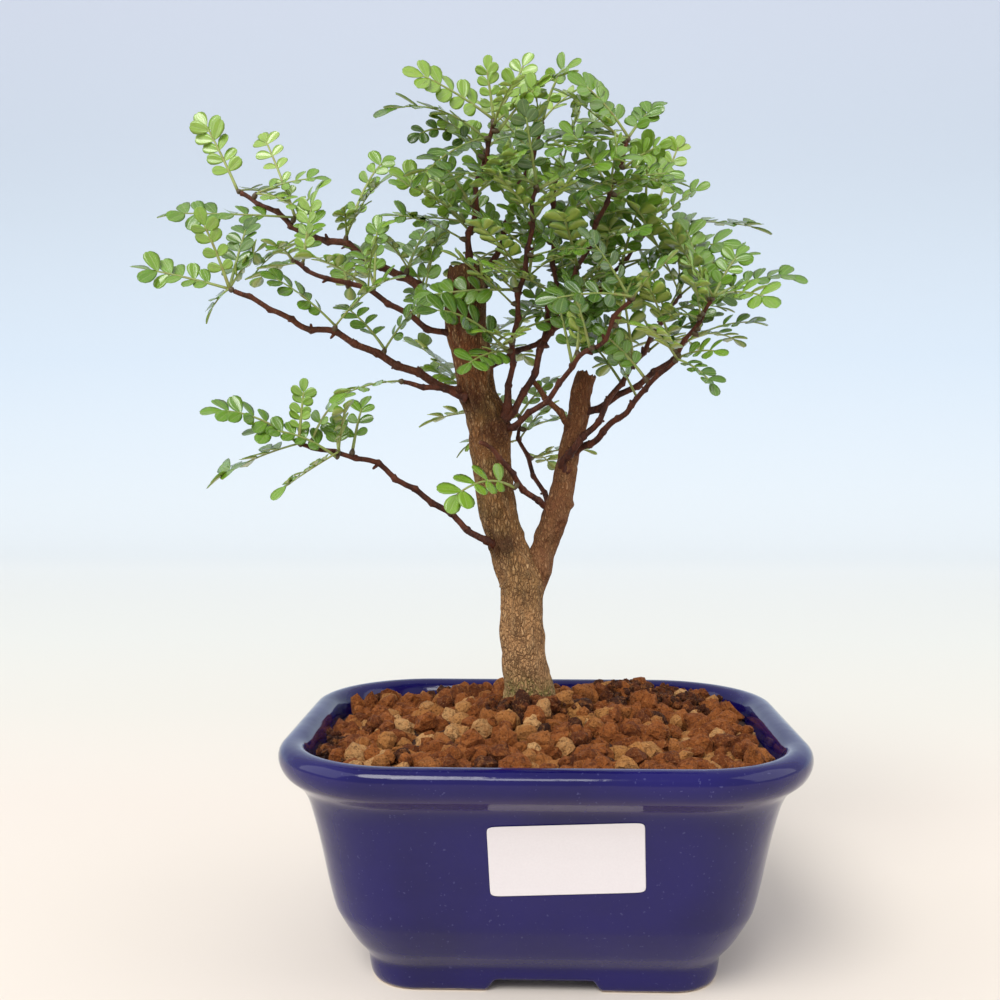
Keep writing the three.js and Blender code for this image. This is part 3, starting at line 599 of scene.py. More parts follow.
# Swellings of the bark: the place, how high it rises, how wide it spreads and how dark it is.
KNOBS = [
    ((-15.3, 3.5, 183.2), 2.8, 3.4, 1), ((-12.9, 5.5, 185.0), 1.2, 2.6, 1),
    ((-17.8, 4, 181.5), 1.2, 3.0, 0.8), ((-28.8, 4, 225.2), 1.3, 3.0, 1), ((-25.6, 4, 222.7), 1.1, 2.6, 1),
    ((-27.4, 4.5, 219.5), 1.0, 2.6, 0.8), ((-16.5, 5.5, 140.9), 1.5, 2.6, 1),
    ((-13.3, 5.5, 141.6), 1.3, 2.4, 1), ((-19.4, 6, 139.4), 1.2, 2.4, 0.8),
    ((5.5, 13, 171.4), 1.4, 2.2, 0.8), ((7.7, 11, 149.2), 1.3, 1.9, 1), ((5.9, 11.5, 146.6), 0.9, 2.0, 0.6),
    ((10.6, 14.5, 155.2), 1.5, 1.1, 0), ((1.5, 9, 130.8), 1.5, 2.0, 0.4), ((18.6, 14, 190.3), 1.8, 1.8, 1),
    ((20.5, 15, 188.8), 1.2, 1.6, 0.8), ((-5.4, 4, 131), 0.8, 1.8, 0.2), ((-8.6, 4, 121.2), 0.7, 2.0, 0.1),
    ((-22.9, 5, 178.3), 0.7, 1.6, 0), ((-26, 5, 193), 1.8, 3.2, 0.9), ((-30, 8, 195), 1.0, 2.6, 0.8),
    ((-29, 10, 227), 1.4, 3.0, 0.9), ((1.8, 12, 154), 1.0, 2.0, 0.5), ((-2, 10, 143), 0.8, 3.0, 0),
    ((15, 17, 201), 0.7, 1.4, 0.9), ((-4.5, 8, 96), 0.6, 3.0, 0), ((-13, 9, 110), 0.6, 3.0, 0),
]
STEM_STEPS = {"trunk": (300, 112), "right": (180, 72)}
# A stem's waves: each one's share, its waves round the stem and its phase up it.
STEM_WAVES = [(0.5, 2, 9), (0.35, 3, -14), (0.25, 5, 31)]
# The bark's waves a millimetre, up the stem and round it, and its depth.
BARK_FINE, BARK_BROAD, BARK_DEPTH = (0.16, 0.42), (0.03, 0.12), 0.17
FLARE = {"from": 84, "fade": 4.5, "rise": 0.9}
# Rings of a sawn end: their share of its radius and their height over it.
SAWN_RINGS = [(0.90, 0.3), (0.72, -0.9), (0.45, -1.7), (0.2, -2.1)]
TWIG_PACE, TWIG_STEP, TWIG_AROUND = 8.0, 0.8, 10
TWIG_BEND, TWIG_CALM, BUD_SWELL, BUD_SPREAD = 0.6, 6, 0.30, 0.8
GOLDEN_TURN = 2.4


def unit(vectors):
    """Vectors over their lengths."""
    return vectors / np.linalg.norm(vectors, axis=-1, keepdims=True)


def length_of(route):
    """The length of a run of points, whose first three numbers are their places."""
    return np.linalg.norm(np.diff(np.asarray(route, float)[:, :3], axis=0), axis=1).sum()


def frames_along(route):
    """Unit vectors along, beside and across a route: beside is the depth axis made square to it."""
    along = unit(np.gradient(route, axis=0))
    beside = unit(np.array([0.0, 1.0, 0.0]) - along * along[:, 1:2])
    return along, beside, np.cross(along, beside)


def tube_rows(route, radius, around):
    """Rings of a tube: centre + radius (beside cos t + side sin t), radii per row and turn."""
    _, beside, side = frames_along(route)
    turn = np.linspace(0, 2 * math.pi, around, endpoint=False)
    out = beside[:, None] * (np.cos(turn) * radius)[..., None]
    return route[:, None] + (out + side[:, None] * (np.sin(turn) * radius)[..., None])


def bark_relief(count, around, length, girth, random):
    """White noise kept, in frequency, to waves longer up the stem than round it, unit spread."""
    up = np.fft.fftfreq(count, length / count)[:, None]
    about = np.fft.rfftfreq(around, girth / around)[None]
    fine, broad = (
        np.exp(-((up / high) ** 2) - (about / wide) ** 2) for high, wide in (BARK_FINE, BARK_BROAD)
    )
    spectrum = np.fft.rfft2(random.normal(size=(count, around))) * (fine * (1 - broad))
    field = np.fft.irfft2(spectrum, (count, around))
    return field / field.std()


def stem_rows(name, ripple, random):
    """A stem whose radius swells by sums of sines and by the bark's relief, with bells for its
    knobs and a sawn end with a ragged rim and a hollow. Also how proud and how dark it is."""
    count, around = STEM_STEPS[name]
    run = smooth_run(LIMBS[name], count)
    turn = np.linspace(0, 2 * math.pi, around, endpoint=False)
    s = np.linspace(0, 1, count)[:, None]
    phase = random.uniform(0, 6.28, 8)
    waves = [
        share * np.sin(about * turn + up * s + start)
        for (share, about, up), start in zip(STEM_WAVES, phase)
    ]
    wave = sum(waves) + 0.3 * np.sin(47 * s + phase[3] + np.sin(turn))
    relief = bark_relief(count, around, length_of(run), 2 * math.pi * run[:, 3].mean(), random)
    flare = np.exp(-np.maximum(run[:, 2:3] - FLARE["from"], 0) / FLARE["fade"])
    radius = run[:, 3:4] + ripple * wave + BARK_DEPTH * relief
    radius = radius + (name == "trunk") * FLARE["rise"] * flare * (1 + 0.6 * np.sin(3 * turn + 1))
    rows = tube_rows(run[:, :3], radius, around)
    out = unit(rows - run[:, None, :3])
    dark = np.zeros((count, around))
    for at, rise, spread, darkness in KNOBS:
        bell = np.exp(-((rows - np.array(at)) ** 2).sum(-1) / (2 * spread**2))
        rows = rows + out * (rise * bell * (1 + 0.25 * relief))[..., None]
        dark = np.maximum(dark, darkness * np.minimum(1, 1.3 * bell))
    along = unit((run[-1] - run[-2])[:3])
    ragged = bark_relief(8, around, 8, around / 3, random)
    rows[-1] += along * (0.35 * ragged[0])[:, None]
    end, middle = rows[-1], rows[-1].mean(0)
    cap = [
        middle + (end - middle) * part + along * (rise + 0.2 * ragged[k])[:, None]
        for k, (part, rise) in enumerate(SAWN_RINGS, 1)
    ]
    crest = np.concatenate([relief, np.zeros((len(cap), around)) - 0.4]).ravel()
    dark = np.concatenate([dark, np.ones((len(cap), around))]).ravel()
    return np.concatenate([rows, np.array(cap)]), np.append(crest, [0, 0]), np.append(dark, [0, 1])


def twig_rows(name, random):
    """A twig that bends to and fro by a triangle wave from bud to bud, with a bell-shaped swelling
    at each bud and a wider foot."""
    route = LIMBS[name]
    length = length_of(route)
    count = int(length / TWIG_STEP)
    run = smooth_run(route, count)
    _, beside, side = frames_along(run[:, :3])
    s = np.linspace(0, length, count)
    fade = np.minimum(1, np.minimum(s, length - s) / TWIG_CALM)
    bend = TWIG_BEND * (2 * np.abs((s / TWIG_PACE) % 2 - 1) - 1) * fade
    centre = run[:, :3] + side * bend[:, None] + beside * (0.5 * np.roll(bend, 5))[:, None]
    s = s[:, None]
    swell = np.exp(-(((s / TWIG_PACE + 0.5) % 1 - 0.5) * TWIG_PACE / BUD_SPREAD) ** 2)
    turn = np.linspace(0, 2 * math.pi, TWIG_AROUND, endpoint=False)
    turned = turn + GOLDEN_TURN * (s / TWIG_PACE) + random.uniform(0, 6.28)
    radius = 0.93 * run[:, 3:4] * (1 + BUD_SWELL * swell * (1 + 0.7 * np.cos(turned)))
    radius = radius * (1 + 0.05 * np.sin(5 * turn + 1.7 * s)) * (1 + 0.3 * np.exp(-s / 2.0))
    return tube_rows(centre, radius, TWIG_AROUND)


def twig_spurs(name, random):
    """Buds and stubs at a twig's turns: short cones that lean along it, each on from the last
    by the golden angle."""
    route = LIMBS[name]
    length = length_of(route)
    count = max(1, int(length / TWIG_PACE) - 1)
    run = smooth_run(route, count, (np.arange(count) + 1.0) * TWIG_PACE / length)
    along, beside, side = frames_along(smooth_run(route, count + 2)[:, :3])
    spurs = []
    for k in range(count):
        turn = GOLDEN_TURN * k + random.normal(0, 0.4)
        out = beside[k + 1] * math.cos(turn) + side[k + 1] * math.sin(turn) + 0.5 * along[k + 1]
        reach = run[k, 3] + random.uniform(0.5, 1.5)
        s = np.array([0.0, 0.55, 0.85, 1.0])[:, None]
        thick = random.uniform(0.45, 0.7) * np.array([1.2, 1.0, 0.8, 0.35])[:, None]
        spurs.append(tube_rows(run[k, :3] + unit(out) * reach * s, thick, 6))
    return spurs


bark, wire, place = new_material("Pepper_bark")
age, crest, dark = (wire.kept(name) for name in ("age", "crest", "dark"))
stir = wire.add("ShaderNodeTexNoise", sockets={"Vector": place, "Scale": 800.0, "Detail": 2.0}, out=1)
stirred = wire.add(
    "ShaderNodeVectorMath", {"operation": "MULTIPLY_ADD"}, {0: stir, 1: [0.0013] * 3, 2: place}
)
upright = wire.add("ShaderNodeMapping", sockets={"Vector": stirred, "Scale": (1, 1, 0.36)})
plates = wire.add(
    "ShaderNodeTexVoronoi", {"feature": "DISTANCE_TO_EDGE"}, {"Vector": upright, "Scale": 950.0}
)
flecks = wire.noise(upright, 1500, 3, 0.6)
fissure = wire.noise(upright, 340, 5, 0.65)
patches = wire.noise(place, 90, 3)
height = place.height()
old = ((height - 0.085) * 6.2).ramp([
    (0.0, (0.52, 0.295, 0.135)), (0.22, (0.45, 0.240, 0.100)), (0.42, (0.265, 0.128, 0.043)),
    (0.66, (0.215, 0.088, 0.026)), (0.82, (0.180, 0.056, 0.018)), (1.0, (0.110, 0.033, 0.012)),
])
old = ((crest * 0.5 + 0.9 * fissure).step(0.45, 1.3) * 0.45).mix(old, (0.42, 0.26, 0.125))
old = (patches.step(0.42, 0.68) * height.step(0.10, 0.14) * 0.45).mix(old, (0.130, 0.105, 0.034))
old = (plates.step(0.18, 0.42) * flecks.step(0.45, 0.64) * 0.7).mix(old, (0.62, 0.43, 0.23))
old = ((1 - plates.step(0.0, 0.15)) * fissure.step(0.35, 0.55) * 0.8).mix(old, (0.050, 0.020, 0.009))
moss = (1 - (height + 0.012 * (patches - 0.5)).step(0.086, 0.099)) * flecks.step(0.35, 0.6)
old = (moss * 0.65).mix(old, (0.14, 0.16, 0.035))
old = (dark * (0.5 + 0.4 * flecks)).mix(old, (0.055, 0.014, 0.007))
young = fissure.step(0.3, 0.7).mix((0.030, 0.007, 0.004), (0.115, 0.030, 0.012))
young = (flecks.step(0.60, 0.70) * 0.45).mix(young, (0.22, 0.115, 0.065))
finish_material(
    wire,
    Base_Color=age.mix((age.step(0.05, 0.15) * 0.5).mix(old, (0.23, 0.085, 0.036)), young),
    Roughness=0.9 - 0.3 * age,
    Specular_IOR_Level=0.3,
    Normal=((1 - 0.8 * age) * plates.step(0.0, 0.3) + 0.5 * fissure + 0.3 * flecks).bump(0.9, 0.0007),
)


def join_skins(rows_of_bodies):
    """Closed skins of different sizes in one mesh, with the count of points of each."""
    skins = [closed_skin(placed(rows)) for rows in rows_of_bodies]
    starts = np.cumsum([0] + [len(points) for points, faces in skins])
    faces = [[k + start for k in face] for (_, group), start in zip(skins, starts) for face in group]
    return np.concatenate([points for points, _ in skins]), faces, np.diff(starts)


random = np.random.default_rng(5)
stems, crests, darks = zip(stem_rows("trunk", 0.30, random), stem_rows("right", 0.20, random))
points, faces, counts = join_skins(stems)
values = {"age": np.repeat([0.0, 0.15], counts)}
values |= {"crest": np.concatenate(crests), "dark": np.concatenate(darks)}
trunk = make_piece("Trunk_bark", points, faces, bark, values)
twig_names = [name for name in LIMBS if name not in STEM_STEPS]
bodies, ages = [], []
for name in twig_names:
    grown = [twig_rows(name, random)] + twig_spurs(name, random)
    bodies += grown
    ages += [{"stub": 0.35, "b": 0.85, "c": 0.9}.get(name, 1.0)] * len(grown)
points, faces, counts = join_skins(bodies)
values = {"age": np.repeat(ages, counts), "crest": np.zeros(len(points)), "dark": np.zeros(len(points))}
twigs = make_piece("Twigs_bark", points, faces, bark, values)
for piece in (trunk, twigs):
    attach(piece, "root")
    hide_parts("tree")

# The leaves: each a rib with narrow wings that carries four to six pairs of leathery leaflets
# and one at its end, pale yellow-green while young and dark with a soft gloss later. They come
# in sprays from buds on the twigs.

# A spray's limb and its bud's place along it, then for each leaf its tip, the lift of its middle,
# the way it faces (0 front, 90 up, 180 back), its pairs, its youth and, for some, its size.
SPRAYS = {
    "a_tip": ("a", 8, [((-114, -24, 188), 8, 48, 6, 0.35), ((-81.5, -16, 198.5), 2, 20, 5, 0.55, 4.7),
        ((-119, -6, 163), 3, 80, 6, 0.3)]),
    "a_mid": ("a", 7, [((-90, -28, 160), 1, 105, 5, 0.45), ((-65, -30, 191), 4, 50, 4, 0.3),
        ((-74, -4, 186), 3, 60, 4, 0.3)]),
    "a_up": ("a", 6.6, [((-64, 4, 193), 4, 60, 5, 0.35)]),
    "b_tip": ("b", 7, [((-139, -20, 237), 1, 40, 6, 0.3), ((-114, -28, 253), 3, 15, 5, 0.65),
        ((-103, -4, 256), 2, 40, 5, 0.15), ((-115, -20, 217), 4, 82, 4, 0.3),
        ((-98, -5, 247), 2, 120, 4, 0.4)]),
    "b_mid": ("b", 4, [((-95, -20, 235), 4, 60, 6, 0.2), ((-48, -24, 233), 6, 60, 5, 0.4)]),
    "b_in": ("b", 3, [((-75, 16, 229), 4, 70, 4, 0.2), ((-41, -10, 227), 3, 50, 5, 0.1)]),
    "b2": ("b2", 3, [((-70, -26, 192), 3, 85, 4, 0.4)]),
    "c_tip": ("c", 8, [((-132, 36, 304.5), 2, 20, 5, 0.7), ((-105, 62, 276), 4, 80, 4, 0.2)]),
    "c_tip2": ("c", 6.6, [((-110, 46, 299), 3, 25, 5, 0.8, 5.8), ((-80, 20, 274), 3, 50, 4, 0.55),
        ((-85, 30, 268), 2, 50, 4, 0.4), ((-143, 20, 263), 1, 50, 6, 0.15)]),
    "c_mid": ("c", 5, [((-59, 34, 286), 10, 35, 5, 0.65, 5.6), ((-56, 4, 272), 6, 60, 5, 0.4),
        ((-72, 10, 263), 3, 50, 4, 0.35)]),
    "c_in": ("c", 3, [((-60, 4, 251), 5, 60, 4, 0.3), ((-42, 36, 263), 4, 70, 5, 0.2),
        ((-35, 0, 250), 3, 60, 4, 0.35)]),
    "c_back": ("c", 2, [((-62, 50, 258), 4, 100, 4, 0.3)]),
    "d_tip": ("d", 6, [((-91, -22, 243), 3, 50, 4, 0.4)]),
    "d_mid": ("d", 3.5, [((-82, -20, 241), 4, 70, 5, 0.5), ((-58, -16, 246), 2, 40, 4, 0.4)]),
    "f1": ("f1", 5, [((-20.4, -6, 310), 1, 10, 4, 0.75, 4.7), ((-5, 2, 315), -3, 25, 5, 0.65),
        ((-47, -14, 304), 3, 30, 5, 0.6)]),
    "f1_mid": ("f1", 4.5, [((-55, -24, 286), 12, 55, 5, 0.25), ((-43, -30, 261), 6, 60, 5, 0.05)]),
    "f1_low": ("f1", 1.8, [((-52, -16, 266), 5, 60, 4, 0.25), ((-40, 32, 280), 3, 110, 4, 0.1),
        ((-53, -4, 272), 4, 30, 4, 0.6), ((-57, 2, 255), 4, 75, 5, 0.35)]),
    "f2": ("f2", 6, [((10.5, 12, 312), 12, 25, 4, 0.55), ((16, 40, 314), 4, 80, 4, 0.8)]),
    "f2_mid": ("f2", 4, [((-16, 46, 303), 3, 40, 5, 0.1), ((-30, 54, 278), 4, 120, 4, 0.2)]),
    "e1": ("e1", 7, [((-7, -26, 288.5), 2, 15, 5, 0.05), ((-31, -38, 262), 5, 60, 5, 0.05)]),
    "e1_mid": ("e1", 4, [((-24, -34, 249), 4, 70, 5, 0.3), ((-19, -32, 233), 2, 20, 4, 0.5)]),
    "g1": ("g1", 6, [((29, 32, 303), 3, 40, 4, 0.3), ((-2, 52, 300), 4, 80, 4, 0.2)]),
    "g1_mid": ("g1", 3.6, [((20, 50, 282), 4, 90, 5, 0.2)]),
    "e2": ("e2", 8, [((10, -8, 302), 5, 40, 5, 0.45, 7.2), ((42, 10, 299), 3, 45, 4, 0.15, 6.8),
        ((1, -24, 273), 2, 60, 5, 0.35), ((0, 14, 287), 4, 70, 5, 0.15)]),
    "e2_mid": ("e2", 6.9, [((46, -22, 260), 5, 70, 5, 0.15), ((11, -26, 258), 3, 40, 4, 0.1)]),
    "e5": ("e5", 6, [((53, 42, 295), 3, 20, 5, 0.85, 5.4), ((60, 24, 273), 3, 50, 4, 0.7),
        ((87, 44, 260), 5, 70, 6, 0.3), ((42, 18, 265), 2, 30, 4, 0.65)]),
    "e5_mid": ("e5", 4, [((24, 12, 262), 4, 20, 5, 0.35), ((30, 62, 258), 4, 100, 5, 0.2)]),
    "h2": ("h2", 8, [((81, 34, 250), 5, 60, 6, 0.3), ((78, 60, 248), 5, 60, 5, 0.15),
        ((48, 14, 255), 4, 40, 5, 0.55), ((30, -4, 262), 4, 45, 6, 0.65)]),
    "h2_mid": ("h2", 6, [((62, 54, 216), 5, 90, 5, 0.3), ((24, 56, 206), 5, 110, 5, 0.3)]),
    "e3": ("e3", 7, [((-2, -38, 222), 4, 40, 4, 0.05), ((40, -50, 234), 4, 50, 5, 0.2)]),
    "h1": ("h1", 8, [((89, -8, 234), 6, 55, 6, 0.25), ((75, -30, 223), 5, 50, 5, 0.4),
        ((70, 2, 246), 3, 40, 5, 0.3), ((46, -22, 238), 3, 30, 4, 0.5)]),
    "h1_mid": ("h1", 6.6, [((75, -14, 218), 4, 75, 5, 0.3), ((73, 20, 214), 4, 80, 5, 0.2)]),
    "h3": ("h3", 7, [((58, -28, 193), 4, 80, 5, 0.25), ((30, -42, 215), 4, 50, 4, 0.3)]),
    "h3_mid": ("h3", 5.3, [((18, -7, 217), 3, 40, 4, 0.3)]),
    "i1": ("i1", 4, [((6, 46, 204), 4, 60, 4, 0.6), ((-24, 60, 196), 4, 100, 5, 0.5),
        ((-48, 38, 185), 6, 95, 5, 0.7), ((-34, 36, 173), 4, 80, 4, 0.7)]),
    "i1_low": ("i1", 2, [((4, 52, 168), 5, 90, 5, 0.5), ((21, 38, 174), 5, 95, 5, 0.6)]),
    "i2": ("i2", 2.8, [((-34, -24, 155.5), 11, 25, 4, 0.5)]),
    "n": ("e1", 2, [((-28, -30, 201), 4, 35, 4, 0.1, 7.4), ((-41, -25, 221), 10, 30, 5, 0.2)]),
    "n_top": ("e1", 3.4, [((-45.5, 1, 229), 2, 35, 5, 0.3), ((-25, -22, 239), 2, 45, 4, 0.35)]),
    "back_a": ("trunk", 11, [((-53, 36, 218), 4, 100, 5, 0.7), ((-47, 38, 207), 3, 85, 5, 0.7),
        ((-18, 46, 214), 5, 120, 5, 0.3)]),
    "back_b": ("c", 4.4, [((-78, 54, 236), 5, 120, 5, 0.2)]),
    "back_c": ("f2", 1.6, [((-10, 48, 240), 5, 120, 5, 0.2), ((-36, 48, 240), 4, 120, 5, 0.2)]),
}
BUD_RADIUS, BUD_GAP = 1.3, 0.35


def bud_place(limb, at, leaves):
    """The limb's own point, and the bud off its end or off its side towards the leaves' tips."""
    route = np.array(LIMBS[limb], float)
    index = min(int(at), len(route) - 2)
    here = route[index] + (route[index + 1] - route[index]) * (at - index)
    along = unit((route[index + 1] - route[index])[:3])
    if at >= len(route) - 1:
        return here[:3], here[:3] + along * (BUD_RADIUS + BUD_GAP)
    aim = np.mean([leaf[0] for leaf in leaves], axis=0) - here[:3]
    aim = unit(aim - along * (aim @ along))
    return here[:3], here[:3] + aim * (here[3] + BUD_GAP + BUD_RADIUS)


BLADE_AROUND = np.array([1, 0.5, 0, -0.5, -1, 0])
BLADE_UNDER = np.array([0.5, 0, 0, 0, 0.5, 1])
BLADE_ALONG = np.array([0, 0.1, 0.3, 0.52, 0.73, 0.9, 1.0])
BLADE_HALF = np.array([0.03, 0.13, 0.265, 0.345, 0.355, 0.26, 0.10])


def leaflet_shape():
    """A leaflet of length 1 along x, widest past its middle, with a slight notch at its tip. Its
    edges cup up by a sine along it, its rib is sunk and its length bends down by 0.07 u^2."""
    u, v = BLADE_ALONG[:, None], BLADE_AROUND[None]
    under = BLADE_UNDER[None] == 1
    x = u - 0.035 * (1 - np.abs(v)) * (u > 0.99) + 0 * v
    cup = 0.055 * v**2 * np.sin(math.pi * np.clip(u, 0.05, 0.95))
    z = cup - 0.07 * u**2 - np.where(np.abs(v) < 0.1, 0.02, 0) - np.where(under, 0.03, 0)
    return np.stack([x, BLADE_HALF[:, None] * v, z], -1)


RIB_STEPS, WINGS = 11, (0.66, 0.36)
LEAFLET_SIZE, LEAFLET_SHARE, PAIR_SPACING = (5.6, 7.8), 0.205, 6.4
LEAN, LEAN_FALL, RAISED = 66, 14, 10


def leaf_rows(root, leaf, random):
    """A rib along root (1-s)^2 + 2 middle s (1-s) + tip s^2, and leaflets set on it in pairs at
    about 60 degrees, the last one on its end, each a little turned and rolled by chance. A leaf
    that gives no size of leaflet has one by its length, and has fewer pairs where it is short."""
    tip, lift, face, pairs, youth, *own = leaf
    tip = np.array(tip, float)
    middle = (root + tip) / 2 + [0, 0, lift]
    length = np.linalg.norm(tip - root) * 1.03
    size = own[0] if own else np.clip(LEAFLET_SHARE * length, *LEAFLET_SIZE)
    pairs = pairs if own else min(pairs, max(3, round(length / PAIR_SPACING)))
    last = 1 - 0.93 * size / length
    look = np.array([-0.12, -math.cos(math.radians(face)), math.sin(math.radians(face))])

    def frame_at(s):
        s = s[:, None]
        along = unit((middle - root) * (1 - s) + (tip - middle) * s)
        up = unit(look - along * (along @ look)[:, None])
        return root * (1 - s) ** 2 + 2 * middle * s * (1 - s) + tip * s**2, along, up, np.cross(along, up)

    spot, along, up, across = frame_at(np.linspace(0, last, RIB_STEPS))
    turn = np.linspace(0, 2 * math.pi, 5, endpoint=False)[None, :, None]
    wing = np.linspace(*WINGS, RIB_STEPS)[:, None, None]
    rib = spot[:, None] + wing * (across[:, None] * np.cos(turn) - 0.6 * up[:, None] * np.sin(turn))
    at = np.linspace(0.22, last - 0.35 * size / length, pairs)
    place = np.append(np.repeat(at, 2), last)
    side = np.append(np.tile([1.0, -1.0], pairs), 0.0)
    count = len(place)
    place = np.clip(place + random.normal(0, 0.008, count), 0, last)
    spot, along, up, across = frame_at(place)
    lean = np.radians(LEAN - LEAN_FALL * place) + random.normal(0, 0.10, count)
    lean = np.where(side == 0, random.normal(0, 0.12), lean * side)
    raised = np.where(side == 0, -0.1, np.tan(np.radians(RAISED) + random.normal(0, 0.17, count)))
    out = along * np.cos(lean)[:, None] + across * np.sin(lean)[:, None]
    out = unit(out + up * raised[:, None])
    normal = unit(up - out * (up * out).sum(-1, keepdims=True))
    wide = np.cross(normal, out)
    roll = random.normal(0, 0.22, count)[:, None]
    cos, sin = np.cos(roll), np.sin(roll)
    wide, normal = wide * cos + normal * sin, normal * cos - wide * sin
    scale = size * (0.80 + 0.26 * np.minimum(place / 0.75, 1)) * random.normal(1, 0.06, count)
    blades = np.einsum("rcx,gxy->grcy", leaflet_shape(), np.stack([out, wide, normal], 1))
    blades = spot[:, None, None] + blades * scale[:, None, None, None]
    return rib, blades, np.clip(youth + random.normal(0, 0.09) + random.normal(0, 0.05, count), 0, 1)


green, wire, place = new_material("Pepper_leaf")
youth, under, across, along = (wire.kept(name) for name in ("youth", "under", "across", "along"))
distance = across.maths("ABSOLUTE", across, 0.0)
comb = along * 9 - distance * 2.2
comb = comb.maths("FRACT", comb, 0.0) - 0.5
veins = 1 - comb.maths("ABSOLUTE", comb, 0.0).step(0.0, 0.22)
rib = 1 - distance.step(0.02, 0.10)
cloud = wire.noise(place, 260, 3)
top = youth.ramp([
    (0.0, (0.034, 0.100, 0.008)), (0.3, (0.120, 0.265, 0.018)), (0.6, (0.210, 0.380, 0.030)),
    (0.8, (0.270, 0.440, 0.055)), (1.0, (0.37, 0.53, 0.10)),
])
top = (cloud.step(0.3, 0.75) * 0.3).mix(top, (0.16, 0.25, 0.022))
top = (rib * 0.3 + veins * 0.10).mix(top, (0.34, 0.44, 0.15))
below = youth.mix((0.230, 0.310, 0.045), (0.40, 0.50, 0.09))
finish_material(
    wire,
    Base_Color=under.step(0.55, 0.8).mix(top, below),
    Roughness=0.20 + 0.12 * cloud + 0.3 * under,
    Coat_Weight=0.7,
    Coat_Roughness=0.2,
    Normal=(cloud * 0.4 + wire.noise(place, 1900, 2) * 0.6 - veins * 0.3 - rib * 0.8).bump(0.4, 0.0002),
    Subsurface_Weight=0.30,
    Subsurface_Radius=(0.002, 0.003, 0.0008),
)
stalk, wire, place = new_material("Leaf_stalk")
youth, woody = wire.kept("youth"), wire.kept("woody")
streak = wire.noise(place, 500, 2)
rib_green = youth.mix((0.20, 0.27, 0.06), (0.35, 0.41, 0.12))
rib_green = (streak.step(0.45, 0.75) * 0.5).mix(rib_green, (0.22, 0.12, 0.045))
finish_material(
    wire,
    Base_Color=woody.mix(rib_green, (0.06, 0.024, 0.013)),
    Roughness=0.5,
    Normal=streak.bump(0.3, 0.0002),
)


def bud_rows(foot, top):
    """A bud as a short tube from the wood to where its leaves start, its radius a sine of s^0.8."""
    s = np.linspace(0, 1, 6)[:, None]
    radius = 0.45 + 0.65 * np.sin(math.pi * s**0.8)
    return tube_rows(foot + (top - foot) * (1.25 * s), radius, 7)


def make_leaves(name, groups, random):
    """Two pieces from (limb point, bud, leaves) groups: the leaflets, and the ribs with buds."""
    buds = [bud_rows(foot, root) for foot, root, leaves in groups]
    grown = [leaf_rows(root, leaf, random) for foot, root, leaves in groups for leaf in leaves]
    rib_ages = [leaf[4] for foot, root, leaves in groups for leaf in leaves]
    ribs, blades, ages = zip(*grown)
    blades, ages = np.concatenate(blades), np.concatenate(ages)
    points, faces, each = repeat_skin(placed(blades))
    steps, around = len(BLADE_ALONG), len(BLADE_AROUND)
    alike = {
        "under": [*np.tile(BLADE_UNDER, steps), 0.5, 0.5],
        "across": [*np.tile(BLADE_AROUND, steps), 0, 0],
        "along": [*np.repeat(BLADE_ALONG, around), 0, 1],
    }
    values = {key: np.tile(value, len(blades)) for key, value in alike.items()}
    values["youth"] = np.repeat(ages, each)
    leaflets = make_piece(f"Leaflets_{name}", points, faces, green, values)
    points, faces, counts = join_skins([*ribs, *buds])
    woods = np.repeat([0.0] * len(ribs) + [0.9] * len(buds), counts)
    ages = np.repeat(rib_ages + [0.0] * len(buds), counts)
    stalks = make_piece(f"Stalks_{name}", points, faces, stalk, {"youth": ages, "woody": woods})
    for piece in (leaflets, stalks):
        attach(piece, "root")
    return leaflets, stalks


random = np.random.default_rng(31)
for name, (limb, at, leaves) in SPRAYS.items():
    for piece in make_leaves(name, [(*bud_place(limb, at, leaves), leaves)], random):
        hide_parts(f"leaves_{name}")

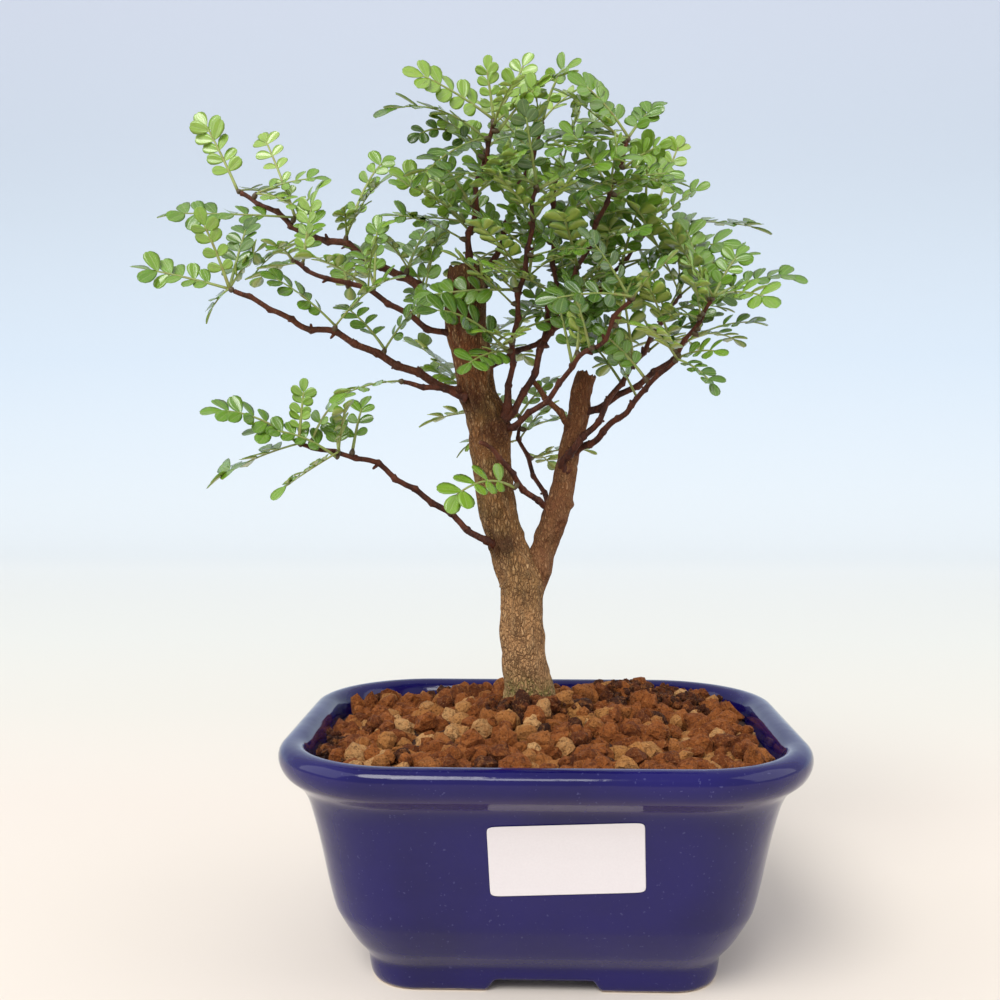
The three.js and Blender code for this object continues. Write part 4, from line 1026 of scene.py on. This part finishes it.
# The inner leaves: single ones that show from the front, given as above, and then the smaller
# sprays that fill the crown, from buds every few millimetres along the outer part of each twig.
# Their tips stay inside the crown's rounded masses, and they lie flatter than those at its edge.
SINGLES = {
    "f1_dark": ("f1", 3.8, [((-47, -10, 280), 14, 20, 4, 0.0, 5.0)]),
    "a_near": ("a", 7, [((-101, -20, 181), 8, 48, 5, 0.35)]),
    "a_arching": ("a", 7.8, [((-67, -10, 193.5), 8, 60, 4, 0.3)]),
    "c_end": ("c", 7.7, [((-82, 30, 278), 3, 55, 5, 0.45), ((-88, 20, 263), 3, 60, 5, 0.5)]),
    "back_pale": ("trunk", 12.5, [((-3, 44, 209), 4, 95, 5, 0.65), ((-7, 46, 226), 4, 95, 5, 0.65)]),
    "f1_between": ("f1", 4.8, [((1, -9, 302), 2, 25, 4, 0.65)]),
    "h1_low": ("h1", 7.2, [((39, -17, 219), 3, 35, 4, 0.25)]),
    "e5_glossy": ("e5", 4.6, [((70, 10, 249), 5, 50, 5, 0.35)]),
    "h1_hanging": ("h1", 5.4, [((61, -14, 208), 3, 40, 4, 0.35)]),
    "h1_near": ("h1", 7.4, [((49, -24, 231), 3, 30, 4, 0.5)]),
    "n_spotted": ("e1", 2.2, [((-24, -18, 215), 3, 60, 3, 0.45), ((-8, -24, 214), 2, 40, 3, 0.6)]),
    "e3_olive": ("e3", 4.1, [((12.4, -8, 225), 1, 120, 3, 0.5)]),
    "e5_olive": ("e5", 4.2, [((28, 24, 268), 2, 130, 4, 0.45)]),
    "e2_lying": ("e2", 4.2, [((-16, -16, 236), 3, 74, 5, 0.4), ((30, -14, 243), 4, 70, 5, 0.4)]),
    "e1_lying": ("e1", 4.6, [((18, -28, 240), 3, 60, 5, 0.3)]),
    "i1_pale": ("i1", 3, [((4, 44, 194), 3, 95, 5, 0.75), ((-24, 44, 172), 3, 95, 4, 0.7)]),
    "i1_paler": ("i1", 3.5, [((14, 50, 188), 3, 80, 5, 0.75)]),
    "e2_upper": ("e2", 6.7, [((51, 8, 269.5), 6, 68, 5, 0.3)]),
    "f1_flat": ("f1", 1.1, [((-56, -6, 257), 4, 62, 5, 0.35)]),
}
CROWN_MASSES = [
    ((-1, 4, 266), (53, 47, 42)), ((58, 14, 238), (33, 40, 24)), ((10, 2, 234), (42, 34, 30)),
    ((-78, 8, 246), (50, 34, 22)), ((-38, 12, 248), (24, 30, 15)), ((-98, 28, 267), (26, 18, 11)),
]
# Corners of the space before the bare trunk, and the leafy part of each twig's length.
BARE_LOW, BARE_HIGH = np.array([-42, -60, 180]), np.array([-10, 10, 232])
LEAFY = {
    "f1": (0.30, 1), "f2": (0.40, 1), "e1": (0.42, 1), "e2": (0.50, 1), "g1": (0.40, 1),
    "e5": (0.35, 1), "e3": (0.55, 1), "h1": (0.50, 1), "h2": (0.45, 1), "h3": (0.62, 1),
    "c": (0.22, 0.97), "d": (0.30, 0.97),
}
BUD_STEP, INNER_REACH, INNER_SHARE = 7.2, (23, 37), 0.85
YOUNG_FROM, YOUNG_OVER, TOP_FROM = 218, 135, 262


def in_crown(point):
    """Whether a point lies inside any of the crown's ellipsoids and not before the bare trunk."""
    masses = [(((point - np.array(at)) / size) ** 2).sum(-1) < 1 for at, size in CROWN_MASSES]
    bare = np.all((point > BARE_LOW) & (point < BARE_HIGH))
    return any(masses) and not bare


def inner_groups(limb, start, end, random):
    """Buds at even steps on a twig, each turned on by the golden angle. A leaf's way is its
    bud's side, a third of the twig's way and a little up, and its youth grows with height."""
    route = np.array(LIMBS[limb], float)
    count = max(2, int(length_of(route) * (end - start) / BUD_STEP))
    run = smooth_run(route, count, np.linspace(start, end, count))
    along, beside, side = frames_along(run[:, :3])
    groups = []
    for k in range(count):
        turn = GOLDEN_TURN * k + random.normal(0, 0.3)
        aim = beside[k] * math.cos(turn) + side[k] * math.sin(turn)
        foot = run[k, :3]
        root = foot + aim * (run[k, 3] + 1.1)
        aside = np.cross(aim, along[k])
        leaves = []
        for way in (aim, unit(aim * 0.4 + aside), unit(aim * 0.4 - aside)):
            way = unit(way + along[k] * random.uniform(0.1, 0.5) + [0, 0, random.uniform(0, 0.45)])
            reach = random.uniform(*INNER_REACH)
            tip = root + way * reach
            tip = tip if in_crown(tip) else root + way * reach * 0.72
            youth = np.clip((tip[2] - YOUNG_FROM) / YOUNG_OVER + random.normal(0.08, 0.12), 0, 0.85)
            face = random.uniform(50, 86) if tip[2] < TOP_FROM else random.uniform(20, 78)
            hides = limb in ("b", "c", "d") and way[1] < -0.15
            if in_crown(tip) and random.uniform() < INNER_SHARE and not hides:
                leaves.append((tip, random.uniform(2, 5), face, int(random.integers(4, 6)), youth))
        if leaves:
            groups.append((foot, root, leaves))
    return groups


random = np.random.default_rng(77)
for name, (limb, at, leaves) in SINGLES.items():
    make_leaves(f"single_{name}", [(*bud_place(limb, at, leaves), leaves)], random)
for limb, (start, end) in LEAFY.items():
    make_leaves(f"inner_{limb}", inner_groups(limb, start, end, random), random)
